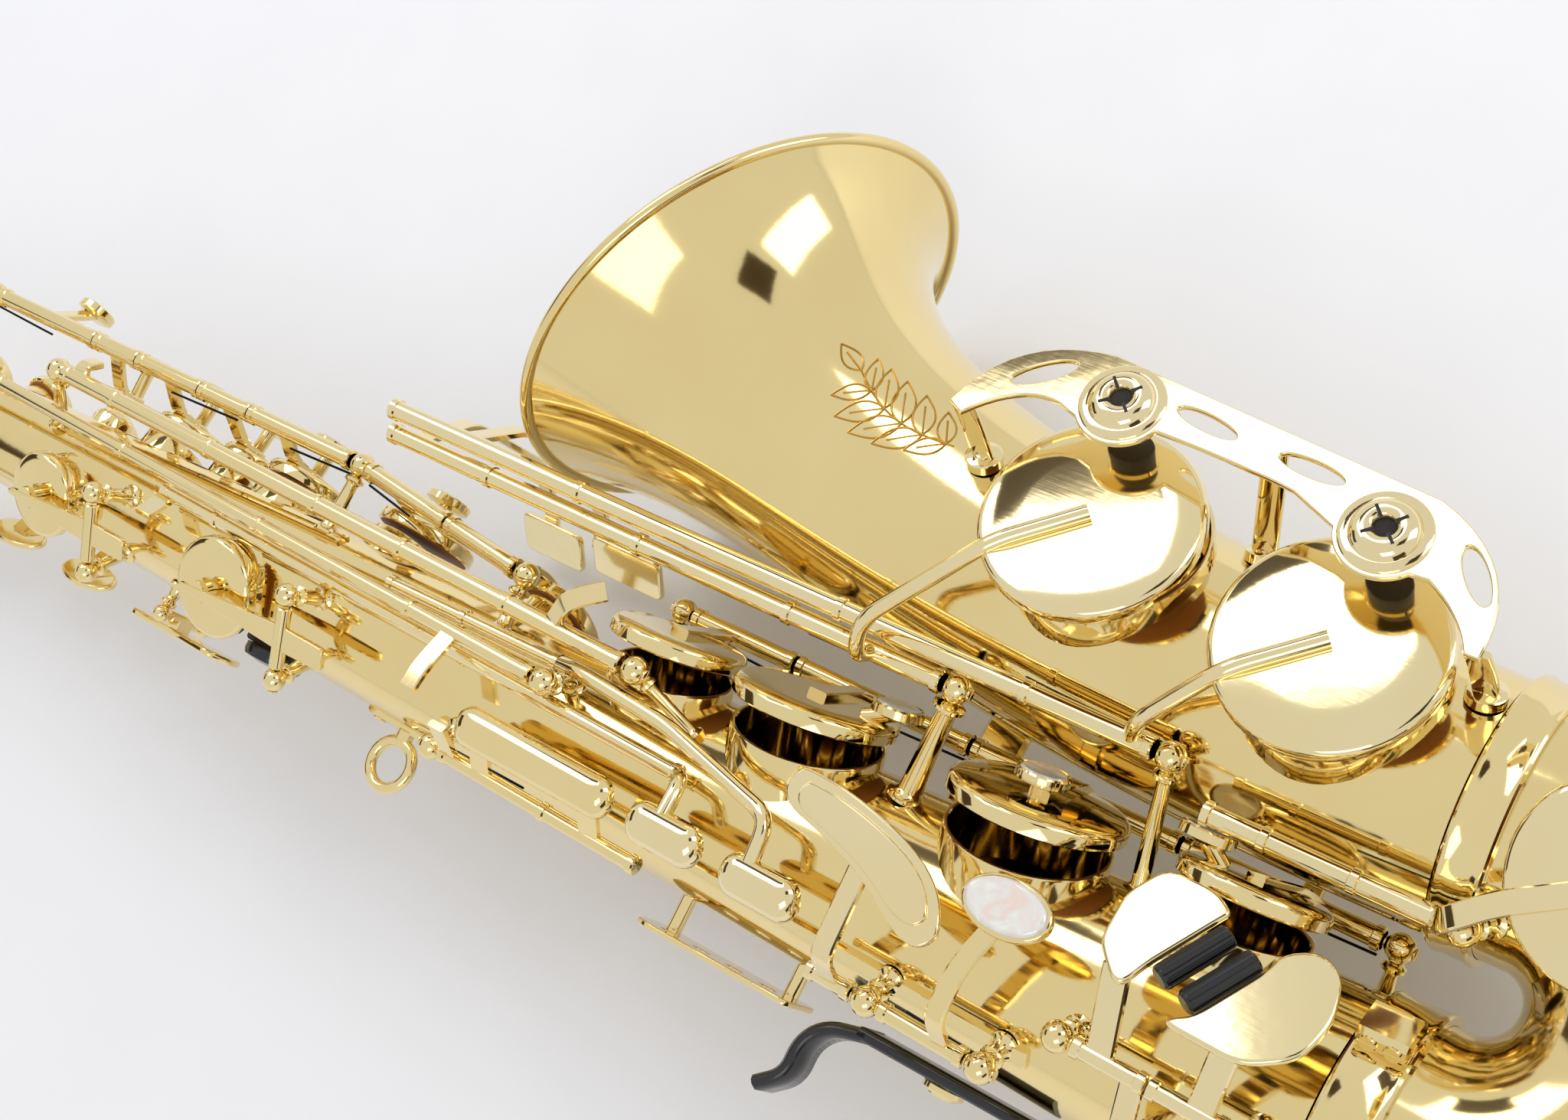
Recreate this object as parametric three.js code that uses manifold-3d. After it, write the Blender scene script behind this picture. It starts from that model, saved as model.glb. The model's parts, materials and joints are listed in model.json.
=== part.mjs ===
// Alto saxophone, lying on its left side with the right-hand side keys uppermost.
// Millimetres. The instrument is drawn along X: the body tube runs from the neck receiver (x = 0) to
// the bow (+X), the front of the body (the bell side) faces +Y and the player's right side faces +Z.
// The last lines roll it a few degrees so that it rests on its bell rim, table-key frame and C sharp guard.
import * as THREE from "three";
import { mergeVertices } from "three/addons/utils/BufferGeometryUtils.js";
import Module from "manifold-3d";

const wasm = await Module();
wasm.setup();

// ---------- driving dimensions ----------
const GAP = 0.4; // clearance between neighbouring pieces
const WALL = 1.2; // sheet thickness of body, bow and bell
const BODY_LENGTH = 502.6;
const BODY_R0 = 12.6; // outer radius at the neck receiver
const BODY_TAPER = 0.0318; // growth of radius per mm
const BOW_RADIUS = 35.8; // centre-line bend radius of the bow
const BOW_LEG = 16; // straight part before the bend
const RIM_R = 61.5; // bell rim
const RIM_CENTRE = [283, 112];
const HOLE_RISE = 3; // tone-hole rim above the body's top line
const HOLE_WALL = 1.2;
const CUP_LIP = 2.6; // how far a key cup reaches past its tone hole
const CUP_HEIGHT = 4.4;
const ROD_R = 2.5; // hinge tubes of the stacks and bell keys
const THIN_R = 2; // hinge tubes of the small keys
const BALL_R = 3.5; // ball on top of a post
const POST_R = 2.1;
const RIB_THICK = 1.4;
const ARM_W = 5;
const ARM_T = 2;
const PEARL_R = 6.4;
const GUARD_T = 1.6;
const ROLLER_R = 2.7;
const ROLLER_LENGTH = 17;
const STRAP_RING_R = 6.4;
const STRAP_WIRE_R = 1.5;
const NECK_BORE_R = 11.4; // outer radius of the neck's tenon
const MOUTHPIECE_R = 12.6;
const MOUTHPIECE_LENGTH = 88;
const ROUND = 24; // sides of the big tubes
const REST_ROLL = 4.45; // degrees
const FINEST = 0.08; // detail smaller than this is smoothed away

const rad = THREE.MathUtils.degToRad;
const V = (x, y, z) => new THREE.Vector3(x, y, z);
const X = V(1, 0, 0);
const Z = V(0, 0, 1);
const BODY_END_R = BODY_R0 + BODY_TAPER * BODY_LENGTH;
const BOW_START = BODY_LENGTH + GAP;
const BOW_CENTRE_X = BOW_START + BOW_LEG;
const BELL_R0 = BODY_END_R + 0.3;
const BELL_Y = 2 * BOW_RADIUS;

// ---------- places on the body, bow and bell ----------
const bodyRadius = (x) => BODY_R0 + BODY_TAPER * x;
const facing = (deg) => V(0, Math.cos(rad(deg)), Math.sin(rad(deg)));
const onBody = (x, rise, deg) => facing(deg).multiplyScalar(bodyRadius(x) + rise).setX(x);
const bellAxis = new THREE.CubicBezierCurve3(
  V(BOW_START, BELL_Y, 0),
  V(BOW_START - 73, BELL_Y, 0),
  V(342, 78, 0),
  V(RIM_CENTRE[0], RIM_CENTRE[1], 0),
);
const BELL_GROWTH = 6.3;
const FLARE = RIM_R - BELL_R0 - BELL_GROWTH;
const bellRadius = (t) => BELL_R0 + BELL_GROWTH * t + FLARE * t ** 9;
const bellParameter = (x) => {
  let low = 0;
  let high = 1;
  for (let i = 0; i < 30; i++) {
    const mid = (low + high) / 2;
    if (bellAxis.getPointAt(mid).x > x) low = mid;
    else high = mid;
  }
  return low;
};
const onBell = (x, rise, deg) => {
  const t = bellParameter(x);
  const centre = bellAxis.getPointAt(t);
  return facing(deg).multiplyScalar(bellRadius(t) + rise).add(centre);
};

// ---------- solids ----------
// A closed three.js geometry as a manifold solid.
function solid(geometry) {
  const plain = geometry.index ? geometry.toNonIndexed() : geometry.clone();
  plain.deleteAttribute("normal");
  plain.deleteAttribute("uv");
  const merged = mergeVertices(plain, 1e-4);
  const triVerts = new Uint32Array(merged.index.array);
  const build = () =>
    new wasm.Manifold(new wasm.Mesh({ numProp: 3, vertProperties: merged.attributes.position.array, triVerts }));
  if (build().volume() < 0) triVerts.reverse();
  return build();
}
const join = (parts) => wasm.Manifold.union(parts.flat());

// Turns a geometry's own axes onto the given directions and moves it to a point.
function placed(geometry, origin, ex, ey, ez) {
  return solid(geometry.applyMatrix4(new THREE.Matrix4().makeBasis(ex, ey, ez).setPosition(origin)));
}
const sideways = (dir, hint = Z) => {
  const side = new THREE.Vector3().crossVectors(hint, dir);
  return side.lengthSq() > 1e-6 ? side.normalize() : new THREE.Vector3().crossVectors(X, dir).normalize();
};

// Round bar between two points.
function rod(a, b, radius, sides = 6) {
  const dir = b.clone().sub(a);
  const length = dir.length();
  dir.normalize();
  const side = sideways(dir);
  const middle = a.clone().add(b).multiplyScalar(0.5);
  const across = new THREE.Vector3().crossVectors(side, dir);
  return placed(new THREE.CylinderGeometry(radius, radius, length, sides), middle, side, dir, across);
}
const ball = (centre, radius, sides = 6) =>
  solid(new THREE.SphereGeometry(radius, sides, 4).translate(centre.x, centre.y, centre.z));

// Turned piece: profile points are [radius, height] along a direction, from axis to axis.
function turned(profile, base, dir, sides = 16) {
  const lathe = new THREE.LatheGeometry(profile.map(([r, h]) => new THREE.Vector2(r, h)), sides);
  const side = sideways(dir);
  return placed(lathe, base, side, dir, new THREE.Vector3().crossVectors(side, dir));
}

// Flat bar between two points; its thickness lies along "up".
function bar(a, b, width = ARM_W, thick = ARM_T, up = Z) {
  const dir = b.clone().sub(a);
  const length = dir.length();
  dir.normalize();
  const side = sideways(dir, up);
  const top = new THREE.Vector3().crossVectors(dir, side);
  const middle = a.clone().add(b).multiplyScalar(0.5);
  return placed(new THREE.BoxGeometry(length, width, thick), middle, dir, side, top);
}

// Closes a stack of equal rings of points into one solid.
function skin(stack) {
  const positions = [];
  const triangle = (...corners) => corners.forEach((p) => positions.push(p.x, p.y, p.z));
  const sides = stack[0].length;
  for (let i = 1; i < stack.length; i++) {
    for (let k = 0; k < sides; k++) {
      const n = (k + 1) % sides;
      triangle(stack[i - 1][k], stack[i - 1][n], stack[i][n]);
      triangle(stack[i - 1][k], stack[i][n], stack[i][k]);
    }
  }
  const [first, last] = [stack[0], stack[stack.length - 1]];
  for (let k = 1; k < sides - 1; k++) {
    triangle(first[0], first[k + 1], first[k]);
    triangle(last[0], last[k], last[k + 1]);
  }
  const geometry = new THREE.BufferGeometry();
  geometry.setAttribute("position", new THREE.Float32BufferAttribute(positions, 3));
  return solid(geometry);
}

// A section swept through several points; it keeps its side as square to "up" as the bends allow.
function sweep(points, section, up = Z) {
  const heading = (i) => points[i + 1].clone().sub(points[i]).normalize();
  let side = sideways(heading(0), up);
  return skin(points.map((p, i) => {
    const before = heading(Math.max(0, i - 1));
    const dir = before.add(heading(Math.min(points.length - 2, i))).normalize();
    side = side.clone().addScaledVector(dir, -side.dot(dir)).normalize();
    const top = new THREE.Vector3().crossVectors(dir, side);
    return section.map(([u, v]) => p.clone().addScaledVector(side, u).addScaledVector(top, v));
  }));
}
const bentRod = (points, radius, sides = 6) =>
  [sweep(points, Array.from({ length: sides }, (_, k) => (2 * Math.PI * k) / sides)
    .map((a) => [radius * Math.cos(a), radius * Math.sin(a)]))];
const bentBar = (points, width = ARM_W, thick = ARM_T, up = Z) =>
  [sweep(points, [[1, 1], [-1, 1], [-1, -1], [1, -1]].map(([u, v]) => [(u * width) / 2, (v * thick) / 2]), up)];

// Flat plate: an outline drawn in the plane of u and v, thickened along their normal.
function plate(shape, thick, origin, u, v, curveSegments = 6) {
  const normal = new THREE.Vector3().crossVectors(u, v).normalize();
  const body = new THREE.ExtrudeGeometry(shape, { depth: thick, bevelEnabled: false, curveSegments });
  return placed(body, origin, u, v, normal);
}
function outline(points) {
  const shape = new THREE.Shape();
  shape.setFromPoints(points.map(([u, v]) => new THREE.Vector2(u, v)));
  return shape;
}
function oval(halfLength, halfWidth) {
  const shape = new THREE.Shape();
  shape.absellipse(0, 0, halfLength, halfWidth, 0, 2 * Math.PI);
  return shape;
}

// Solid tube of varying radius along a curve.
function loft(curve, radiusAt, rings, sides, from = 0, to = 1) {
  return skin(Array.from({ length: rings + 1 }, (_, i) => {
    const t = from + ((to - from) * i) / rings;
    const inside = THREE.MathUtils.clamp(t, 0, 1);
    const tangent = curve.getTangentAt(inside);
    const centre = curve.getPointAt(inside).addScaledVector(tangent, (t - inside) * curve.getLength());
    const side = new THREE.Vector3().crossVectors(Z, tangent).normalize();
    const radius = radiusAt(inside);
    return Array.from({ length: sides }, (_, k) => {
      const a = (2 * Math.PI * k) / sides;
      return centre.clone().addScaledVector(side, radius * Math.cos(a)).addScaledVector(Z, radius * Math.sin(a));
    });
  }));
}

// Rib that follows the conical body: a patch between two stations and two angles.
function rib(x0, x1, deg0, deg1, low = GAP, high = GAP + RIB_THICK) {
  const steps = Math.max(1, Math.round(Math.abs(deg1 - deg0) / 9));
  const at = (i, k, rise) => onBody(i ? x1 : x0, rise, deg0 + ((deg1 - deg0) * k) / steps);
  const positions = [];
  const quad = (a, b, c, d) => [a, b, c, a, c, d].forEach((p) => positions.push(p.x, p.y, p.z));
  for (let k = 0; k < steps; k++) {
    quad(at(0, k, high), at(1, k, high), at(1, k + 1, high), at(0, k + 1, high));
    quad(at(0, k, low), at(0, k + 1, low), at(1, k + 1, low), at(1, k, low));
    quad(at(0, k, low), at(0, k, high), at(0, k + 1, high), at(0, k + 1, low));
    quad(at(1, k, low), at(1, k + 1, low), at(1, k + 1, high), at(1, k, high));
  }
  quad(at(0, 0, low), at(1, 0, low), at(1, 0, high), at(0, 0, high));
  quad(at(0, steps, low), at(0, steps, high), at(1, steps, high), at(1, steps, low));
  const geometry = new THREE.BufferGeometry();
  geometry.setAttribute("position", new THREE.Float32BufferAttribute(positions, 3));
  return solid(geometry);
}

// ---------- materials ----------
const metal = (color, roughness) => new THREE.MeshStandardMaterial({ color, roughness, metalness: 1 });
const MATERIALS = {
  lacquer: metal(0xe2b65a, 0.16),
  body: metal(0xd9ab4e, 0.14),
  black: new THREE.MeshStandardMaterial({ color: 0x141416, roughness: 0.35, metalness: 0 }),
  ebonite: new THREE.MeshStandardMaterial({ color: 0x101011, roughness: 0.22, metalness: 0 }),
  cork: new THREE.MeshStandardMaterial({ color: 0xb98e5e, roughness: 0.85, metalness: 0 }),
  cane: new THREE.MeshStandardMaterial({ color: 0xdcc48a, roughness: 0.7, metalness: 0 }),
};

// ---------- assembly ----------
const instrument = new THREE.Group();

function meshOf(name, manifold, material, origin = V(0, 0, 0)) {
  const made = manifold.simplify(FINEST).getMesh();
  const geometry = new THREE.BufferGeometry();
  geometry.setAttribute("position", new THREE.Float32BufferAttribute(made.vertProperties, 3));
  geometry.setIndex(Array.from(made.triVerts));
  geometry.translate(-origin.x, -origin.y, -origin.z);
  const mesh = new THREE.Mesh(geometry, MATERIALS[material]);
  mesh.name = name;
  return mesh;
}
const fixed = (name, parts, material = "lacquer") =>
  instrument.add(meshOf(name, parts.length ? join(parts) : parts, material));

// A piece that turns on the line from a to b. It is drawn at its closed place, then turned by "open".
// "travel" is the range in degrees from there, and "parent" is the group of the piece that carries it.
function hinged(name, a, b, parts, { open = 0, travel, material = "lacquer", parent = instrument, carrier } = {}) {
  const axis = b.clone().sub(a).normalize();
  const pivot = new THREE.Group();
  pivot.name = `hinge_${name}`;
  pivot.position.copy(a).sub(parent.userData.at ?? V(0, 0, 0));
  pivot.quaternion.setFromAxisAngle(axis, rad(open));
  pivot.userData = { at: a.clone(), axis: axis.clone(), travel, carrier };
  pivot.add(meshOf(name, join(parts), material, a));
  parent.add(pivot);
  return pivot;
}

// Direction in which a turn about the axis lifts a point away along "outward": +1 or -1.
function liftSign(a, b, point, outward) {
  const arm = point.clone().sub(a);
  const axis = b.clone().sub(a).normalize();
  return Math.sign(new THREE.Vector3().crossVectors(axis, arm).dot(outward));
}
const along = (a, b, x) => a.clone().lerp(b, (x - a.x) / (b.x - a.x));

// ---------- tone holes ----------
// Each hole: station, angle round the tube, bore radius, and the tube it is in.
const HOLES = {
  side_e: { x: 46, deg: 78, r: 6.4 },
  palm_f: { x: 26, deg: -42, r: 5.6 },
  palm_e_flat: { x: 54, deg: -46, r: 6.2 },
  palm_d: { x: 84, deg: -50, r: 6.8 },
  c_vent: { x: 95, deg: -8, r: 4.8 },
  b: { x: 119, deg: -18, r: 8.4 },
  bis: { x: 144, deg: -18, r: 5.8 },
  a: { x: 168, deg: -18, r: 10 },
  g: { x: 214, deg: -18, r: 11.6 },
  side_c: { x: 106, deg: 119, r: 9.6 },
  side_b_flat: { x: 183, deg: 116, r: 11.2 },
  g_sharp: { x: 262, deg: -35, r: 11.2 },
  f_sharp: { x: 317, deg: 25, r: 14.5 },
  f: { x: 359, deg: 27, r: 17.5 },
  e: { x: 420, deg: 30, r: 18 },
  d: { x: 470, deg: 21, r: 14.4 },
  e_flat: { x: 484, deg: 142, r: 12 },
  c_sharp: { x: 466, deg: -72, r: 16, on: "bell" },
  low_b: { x: 412, deg: 63, r: 22, on: "bell" },
  low_b_flat: { x: 470, deg: 66, r: 22, on: "bell" },
};
const LOW_C = { centre: V(BOW_CENTRE_X + 20, BOW_RADIUS + 30, 0), r: 18.5 };
LOW_C.centre.sub(V(BOW_CENTRE_X, BOW_RADIUS, 0)).setLength(BOW_RADIUS).add(V(BOW_CENTRE_X, BOW_RADIUS, 0));

const holeTop = ({ x, deg, on }, rise = 0) =>
  on === "bell" ? onBell(x, HOLE_RISE + rise, deg) : onBody(x, HOLE_RISE + rise, deg);
const chimneySides = (r) => (r < 8 ? 8 : 12);
const CHIMNEY_DEPTH = 0.72; // share of the hole radius that the chimney reaches down into the tube

function chimney(hole) {
  const top = holeTop(hole);
  const down = facing(hole.deg).multiplyScalar(-HOLE_RISE - hole.r * CHIMNEY_DEPTH);
  return rod(top.clone().add(down), top, hole.r + HOLE_WALL, chimneySides(hole.r));
}
function bore(hole) {
  const top = holeTop(hole);
  const n = facing(hole.deg);
  const start = top.clone().addScaledVector(n, -HOLE_RISE - hole.r * CHIMNEY_DEPTH - 3);
  return rod(start, top.clone().addScaledVector(n, 2), hole.r, chimneySides(hole.r));
}

// ---------- posts and hinge lines ----------
// A post from the rib (or tube) up to a ball; its rod or ball stops GAP short of what it carries.
function post(foot, top, radius = POST_R) {
  return [rod(foot, top, radius), ball(top, BALL_R)];
}
const FOOT = GAP + RIB_THICK * 0.9; // posts start inside their rib
const postOn = (x, deg, top, radius = POST_R) => post(onBody(x, FOOT, deg), top, radius);

// Hinge lines of the key groups.
const LINES = {
  upper: [V(37, 36.3, 10), V(199, 36.3, 10)],
  g: [V(199, 36.3, 10), V(268, 28.5, 15)],
  link: [V(92, 23.3, 23), V(320, 19, 31)],
  side_e: [V(30, 13.5, 19), V(295, 7, 32)],
  side_c: [V(150, 6.2, 21.5), V(342, 2.1, 27.7)],
  side_b_flat: [V(236, 11.5, 22.5), V(296, 12.6, 24.4)],
  back: [V(272, -19.8, 23.6), V(438, -23.2, 27.6)],
  table_right: [V(453, -9.4, 36.2), V(499, -10, 37.6)],
  lower: [V(300, 38.5, -9), V(500, 38.5, -9)],
  low_b: [V(212, 47, 25), V(394, 47, 25)],
  low_b_flat: [V(212, 52.4, 29), V(446.5, 52.4, 29)],
  low_c: [V(453, 45, 26), V(514, 45, 26)],
  palm: [V(10, -1.2, -20), V(108, -1.4, -23.4)],
  table_left: [V(222, 7.4, -28.6), V(300, 8, -31.1)],
  c_sharp: [V(306, 8, -31.4), V(486, 9.4, -37)],
};
const span = (line, x0, x1, radius, sides = 6) =>
  rod(along(...line, x0), along(...line, x1), radius, sides);
const END = BALL_R + GAP; // where a hinge tube stops beside its post

// Transverse saddles of the two side-key cups.
const SADDLE_HALF = 12;
function saddle(x, deg) {
  const n = facing(deg);
  const t = facing(deg + 90);
  const centre = onBody(x, 11, deg);
  return { x, deg, n, t, centre, a: centre.clone().addScaledVector(t, -SADDLE_HALF), b: centre.clone().addScaledVector(t, SADDLE_HALF) };
}
const SIDE_C = saddle(135, 119);
const SIDE_B_FLAT = saddle(216, 117);
const OCTAVE = V(158, -bodyRadius(158) - 7, 0);

// Posts soldered straight onto the tube.
const solderedPost = (x, deg, top, radius = POST_R) => [rod(onBody(x, -0.6, deg), top, radius), ball(top, BALL_R)];
const OCTAVE_HALF = 9;
function bodyPosts() {
  const tall = V(394, 47, 25);
  const halfOf = (s) => THREE.MathUtils.radToDeg(SADDLE_HALF / (bodyRadius(s.x) + 6));
  return [
    solderedPost(33, 54, LINES.side_e[0]),
    solderedPost(299, 66, LINES.side_e[1].clone().setX(299)),
    solderedPost(336, 60, LINES.link[1]),
    solderedPost(389, 32, tall, 2.9),
    solderedPost(446, 20, LINES.low_b_flat[1]),
    solderedPost(453, 105, LINES.table_right[0]),
    solderedPost(496, 105, along(...LINES.table_right, 496)),
    solderedPost(490, -75, LINES.c_sharp[1].clone().setX(490)),
    ...LINES.palm.map((end) => solderedPost(end.x, -92, end)),
    [SIDE_C, SIDE_B_FLAT].map((s) => [
      rod(onBody(s.x, -0.6, s.deg - halfOf(s)), s.a, POST_R), ball(s.a, BALL_R - 0.4),
      rod(onBody(s.x, -0.6, s.deg + halfOf(s)), s.b, POST_R), ball(s.b, BALL_R - 0.4),
    ]),
    [-1, 1].map((side) => [
      rod(onBody(OCTAVE.x, -0.6, 180 - side * 24), V(OCTAVE.x, OCTAVE.y, side * OCTAVE_HALF), 1.8),
      ball(V(OCTAVE.x, OCTAVE.y, side * OCTAVE_HALF), 2.4),
    ]),
  ].flat(3);
}

// ---------- tubes ----------
function bodyTube() {
  const cone = (trim, from, to) =>
    turned([[0, from], [bodyRadius(from) - trim, from], [bodyRadius(to) - trim, to], [0, to]], V(0, 0, 0), X, ROUND);
  const holes = Object.values(HOLES).filter((h) => h.on !== "bell");
  return cone(0, 0, BODY_LENGTH).add(join([...holes.map(chimney), ...bodyPosts()]))
    .subtract(cone(WALL, -2, BODY_LENGTH + 2))
    .subtract(join(holes.map(bore)));
}

const bowAxis = new THREE.CurvePath();
bowAxis.add(new THREE.LineCurve3(V(BOW_START, 0, 0), V(BOW_CENTRE_X, 0, 0)));
const BOW_ARCS = 4;
for (let i = 0; i < BOW_ARCS; i++) {
  const onArc = (a) => V(BOW_CENTRE_X + BOW_RADIUS * Math.sin(a), BOW_RADIUS - BOW_RADIUS * Math.cos(a), 0);
  const heading = (a) => V(Math.cos(a), Math.sin(a), 0);
  const step = Math.PI / BOW_ARCS;
  const reach = (4 / 3) * Math.tan(step / 4) * BOW_RADIUS;
  const [p, q] = [onArc(i * step), onArc((i + 1) * step)];
  const near = p.clone().addScaledVector(heading(i * step), reach);
  bowAxis.add(new THREE.CubicBezierCurve3(p, near, q.clone().addScaledVector(heading((i + 1) * step), -reach), q));
}
bowAxis.add(new THREE.LineCurve3(V(BOW_CENTRE_X, BELL_Y, 0), V(BOW_START + GAP, BELL_Y, 0)));

function bow() {
  const radiusAt = (t) => BODY_END_R + (BELL_R0 - BODY_END_R) * t;
  const top = V(LOW_C.centre.x, LOW_C.centre.y, BODY_END_R + HOLE_RISE);
  const foot = top.clone().setZ(BODY_END_R - LOW_C.r * CHIMNEY_DEPTH);
  const lowCFoot = V(BOW_CENTRE_X - 2, BELL_Y, 0).addScaledVector(facing(140), BELL_R0 - 0.8);
  return loft(bowAxis, radiusAt, 10, ROUND)
    .add(join([rod(foot, top, LOW_C.r + HOLE_WALL, 12), rod(lowCFoot, LINES.low_c[1], POST_R), ball(LINES.low_c[1], BALL_R)]))
    .subtract(loft(bowAxis, (t) => radiusAt(t) - WALL, 10, ROUND, -0.02, 1.02))
    .subtract(rod(foot.clone().setZ(foot.z - 3), top.clone().setZ(top.z + 2), LOW_C.r, 12));
}

// Rolled wire round the bell's rim.
const rimAxis = bellAxis.getTangentAt(1);
const RIM_WIRE = 1.5;
const WIRE_SIDES = 5;
function rimWire() {
  const profile = Array.from({ length: WIRE_SIDES + 1 }, (_, i) => {
    const a = (2 * Math.PI * i) / WIRE_SIDES;
    return [RIM_R + RIM_WIRE * (0.3 + Math.cos(a)), RIM_WIRE * (0.2 + Math.sin(a))];
  });
  return turned(profile, V(RIM_CENTRE[0], RIM_CENTRE[1], 0), rimAxis, ROUND);
}

function bell() {
  const holes = Object.values(HOLES).filter((h) => h.on === "bell");
  const shell = loft(bellAxis, bellRadius, 10, ROUND).add(join(holes.map(chimney)));
  return shell
    .subtract(loft(bellAxis, (t) => bellRadius(t) - WALL, 10, ROUND, -0.02, 1.004))
    .subtract(join(holes.map(bore)))
    .add(rimWire());
}

const ringAt = (x, y, length, radius, thick, sides = ROUND) =>
  turned([[radius, 0], [radius + thick, 0], [radius + thick, length], [radius, length], [radius, 0]],
    V(x, y, 0), X, sides);

instrument.add(meshOf("body_tube", bodyTube(), "body"));
instrument.add(meshOf("bow", bow(), "body"));
instrument.add(meshOf("bell", bell(), "body"));
const RING_WIDTH = 12.5;
const RING_T = 1.7;
const LUG = 5;
fixed("body_bow_ring", [
  ringAt(BOW_START + GAP, 0, RING_WIDTH, BODY_END_R + GAP, RING_T),
  bar(onBody(BOW_START + GAP, 3.8, 50), onBody(BOW_START + GAP + RING_WIDTH, 3.8, 50), LUG * 2, LUG, facing(50)),
]);
fixed("bell_bow_ring", [ringAt(BOW_START + 2 * GAP, BELL_Y, RING_WIDTH - 3, BELL_R0 + GAP, RING_T)]);
const RECEIVER = 24;
fixed("neck_receiver", [
  turned(
    [[bodyRadius(0) + GAP, 0], [bodyRadius(0) + 3.4, 0], [bodyRadius(0) + 3.4, RECEIVER * 0.4],
      [bodyRadius(0) + 2, RECEIVER * 0.5], [bodyRadius(0) + 2, RECEIVER * 0.6],
      [bodyRadius(0) + 1.2, RECEIVER * 0.6], [bodyRadius(0) + 1.2, 1 - RECEIVER * 0.4],
      [bodyRadius(0) + GAP, 1 - RECEIVER * 0.4], [bodyRadius(0) + GAP, 0]].map(([r, h]) => [r, h - 9]),
    V(0, 0, 0), X, ROUND),
  bar(V(-10, -bodyRadius(0) - 5, 0), V(-1, -bodyRadius(0) - 5, 0), 7, 9, Z),
]);

// ---------- ribs, posts and guards ----------

fixed("upper_stack_rib", [
  rib(30, 206, 28, 42),
  postOn(37, 35, along(...LINES.upper, 37)),
  postOn(199, 34, along(...LINES.upper, 199)),
]);
fixed("link_rod_rib", [
  rib(88, 292, 50, 58),
  postOn(92, 53, LINES.link[0]),
  rod(onBody(270, FOOT, 52), along(...LINES.g, 268), POST_R),
  ball(LINES.g[1], BALL_R),
]);
fixed("back_rib", [
  rib(266, 444, 126, 136),
  postOn(272, 130, LINES.back[0]),
  postOn(408, 131, along(...LINES.back, 408)),
  postOn(438, 130, LINES.back[1]),
]);
fixed("lower_stack_rib", [
  rib(296, 500, -36, -28),
  ...post(onBody(300, FOOT, -32), LINES.lower[0]),
  ...post(onBody(497, FOOT, -32), LINES.lower[1].clone().setX(497)),
]);

// Bell-key guard: a pierced plate on three feet, with a felt bumper over each big cup.
const GUARD_N = V(0, 0.26, 0.966).normalize();
const GUARD_V = new THREE.Vector3().crossVectors(X, GUARD_N);
const GUARD_O = V(440, 112, 46.5);
const BUMPERS = [[-31, -3.6], [33, 3.6]];
function bellKeyGuard() {
  const shape = new THREE.Shape();
  shape.moveTo(-67, 10);
  shape.quadraticCurveTo(-62, -12, -38, -14);
  shape.lineTo(40, -7.5);
  shape.quadraticCurveTo(62, 0, 61, 22);
  shape.lineTo(58, 22);
  shape.quadraticCurveTo(54, 14, 43, 9);
  shape.absarc(BUMPERS[1][0], BUMPERS[1][1], 10.5, rad(40), rad(165), false);
  shape.quadraticCurveTo(12, 2, 2, 1);
  shape.quadraticCurveTo(-10, 0, -21, 0);
  shape.absarc(BUMPERS[0][0], BUMPERS[0][1], 10.5, rad(20), rad(140), false);
  shape.quadraticCurveTo(-54, 0, -63, 12);
  shape.closePath();
  const leaf = (u, v, half, width, turn) => {
    const hole = new THREE.Path();
    hole.absellipse(u, v, half, width, 0, 2 * Math.PI, false, rad(turn));
    shape.holes.push(hole);
  };
  leaf(-51, -4.2, 7.5, 2.4, -38);
  leaf(-12, -6, 7.5, 2, 8);
  leaf(13, -4.2, 7.5, 2, 4);
  leaf(53, 5.5, 7, 2.3, 52);
  const at = (u, v, n) => GUARD_O.clone().addScaledVector(X, u).addScaledVector(GUARD_V, v).addScaledVector(GUARD_N, n);
  const foot = (u, v, x, deg) => {
    const end = onBell(x, 1.9, deg);
    const out = facing(deg);
    return [bar(at(u, v, -0.8), end, 1.6, ARM_W, X),
      turned([[0, 0], [4, 0], [4, 1.6], [0, 1.6]], onBell(x, 1.6, deg), out, 8)];
  };
  const bumpers = BUMPERS.map(([u, v]) =>
    turned([[0, -5.5], [6.4, -5.5], [6.4, 0], [8.6, 0.5], [8.6, 2.6], [6.6, 3.2], [0, 3.2]], at(u, v, 0), GUARD_N, 10));
  return [plate(shape, GUARD_T, at(0, 0, 0), X, GUARD_V, 3), bumpers,
    foot(-64.5, 9, 377, 62), foot(2, -10, 441, 28), foot(59.5, 20, 498.4, 52)].flat();
}
fixed("bell_key_guard", bellKeyGuard());

// Low C guard: an arch over the bow with a bumper above the cup.
const bowTop = (x, y, rise) => {
  const off = Math.abs(Math.hypot(x - BOW_CENTRE_X, y - BOW_RADIUS) - BOW_RADIUS);
  return V(x, y, Math.sqrt(BELL_R0 ** 2 - off ** 2) + rise);
};
const LOW_C_GUARD = [[BOW_CENTRE_X + 15, 93], [BOW_CENTRE_X + 53, 56]];
fixed("low_c_guard", [
  bentBar([bowTop(...LOW_C_GUARD[0], 3), V(BOW_CENTRE_X + 22, 88, 51), V(BOW_CENTRE_X + 48, 62, 51), bowTop(...LOW_C_GUARD[1], 3)], 5, 1.6, V(1, 1, 0)),
  turned([[0, -4], [5, -4], [5, 0], [7, 0.4], [7, 2.4], [0, 2.4]], V(BOW_CENTRE_X + 35, 75, 51), Z, 12),
].flat());

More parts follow.
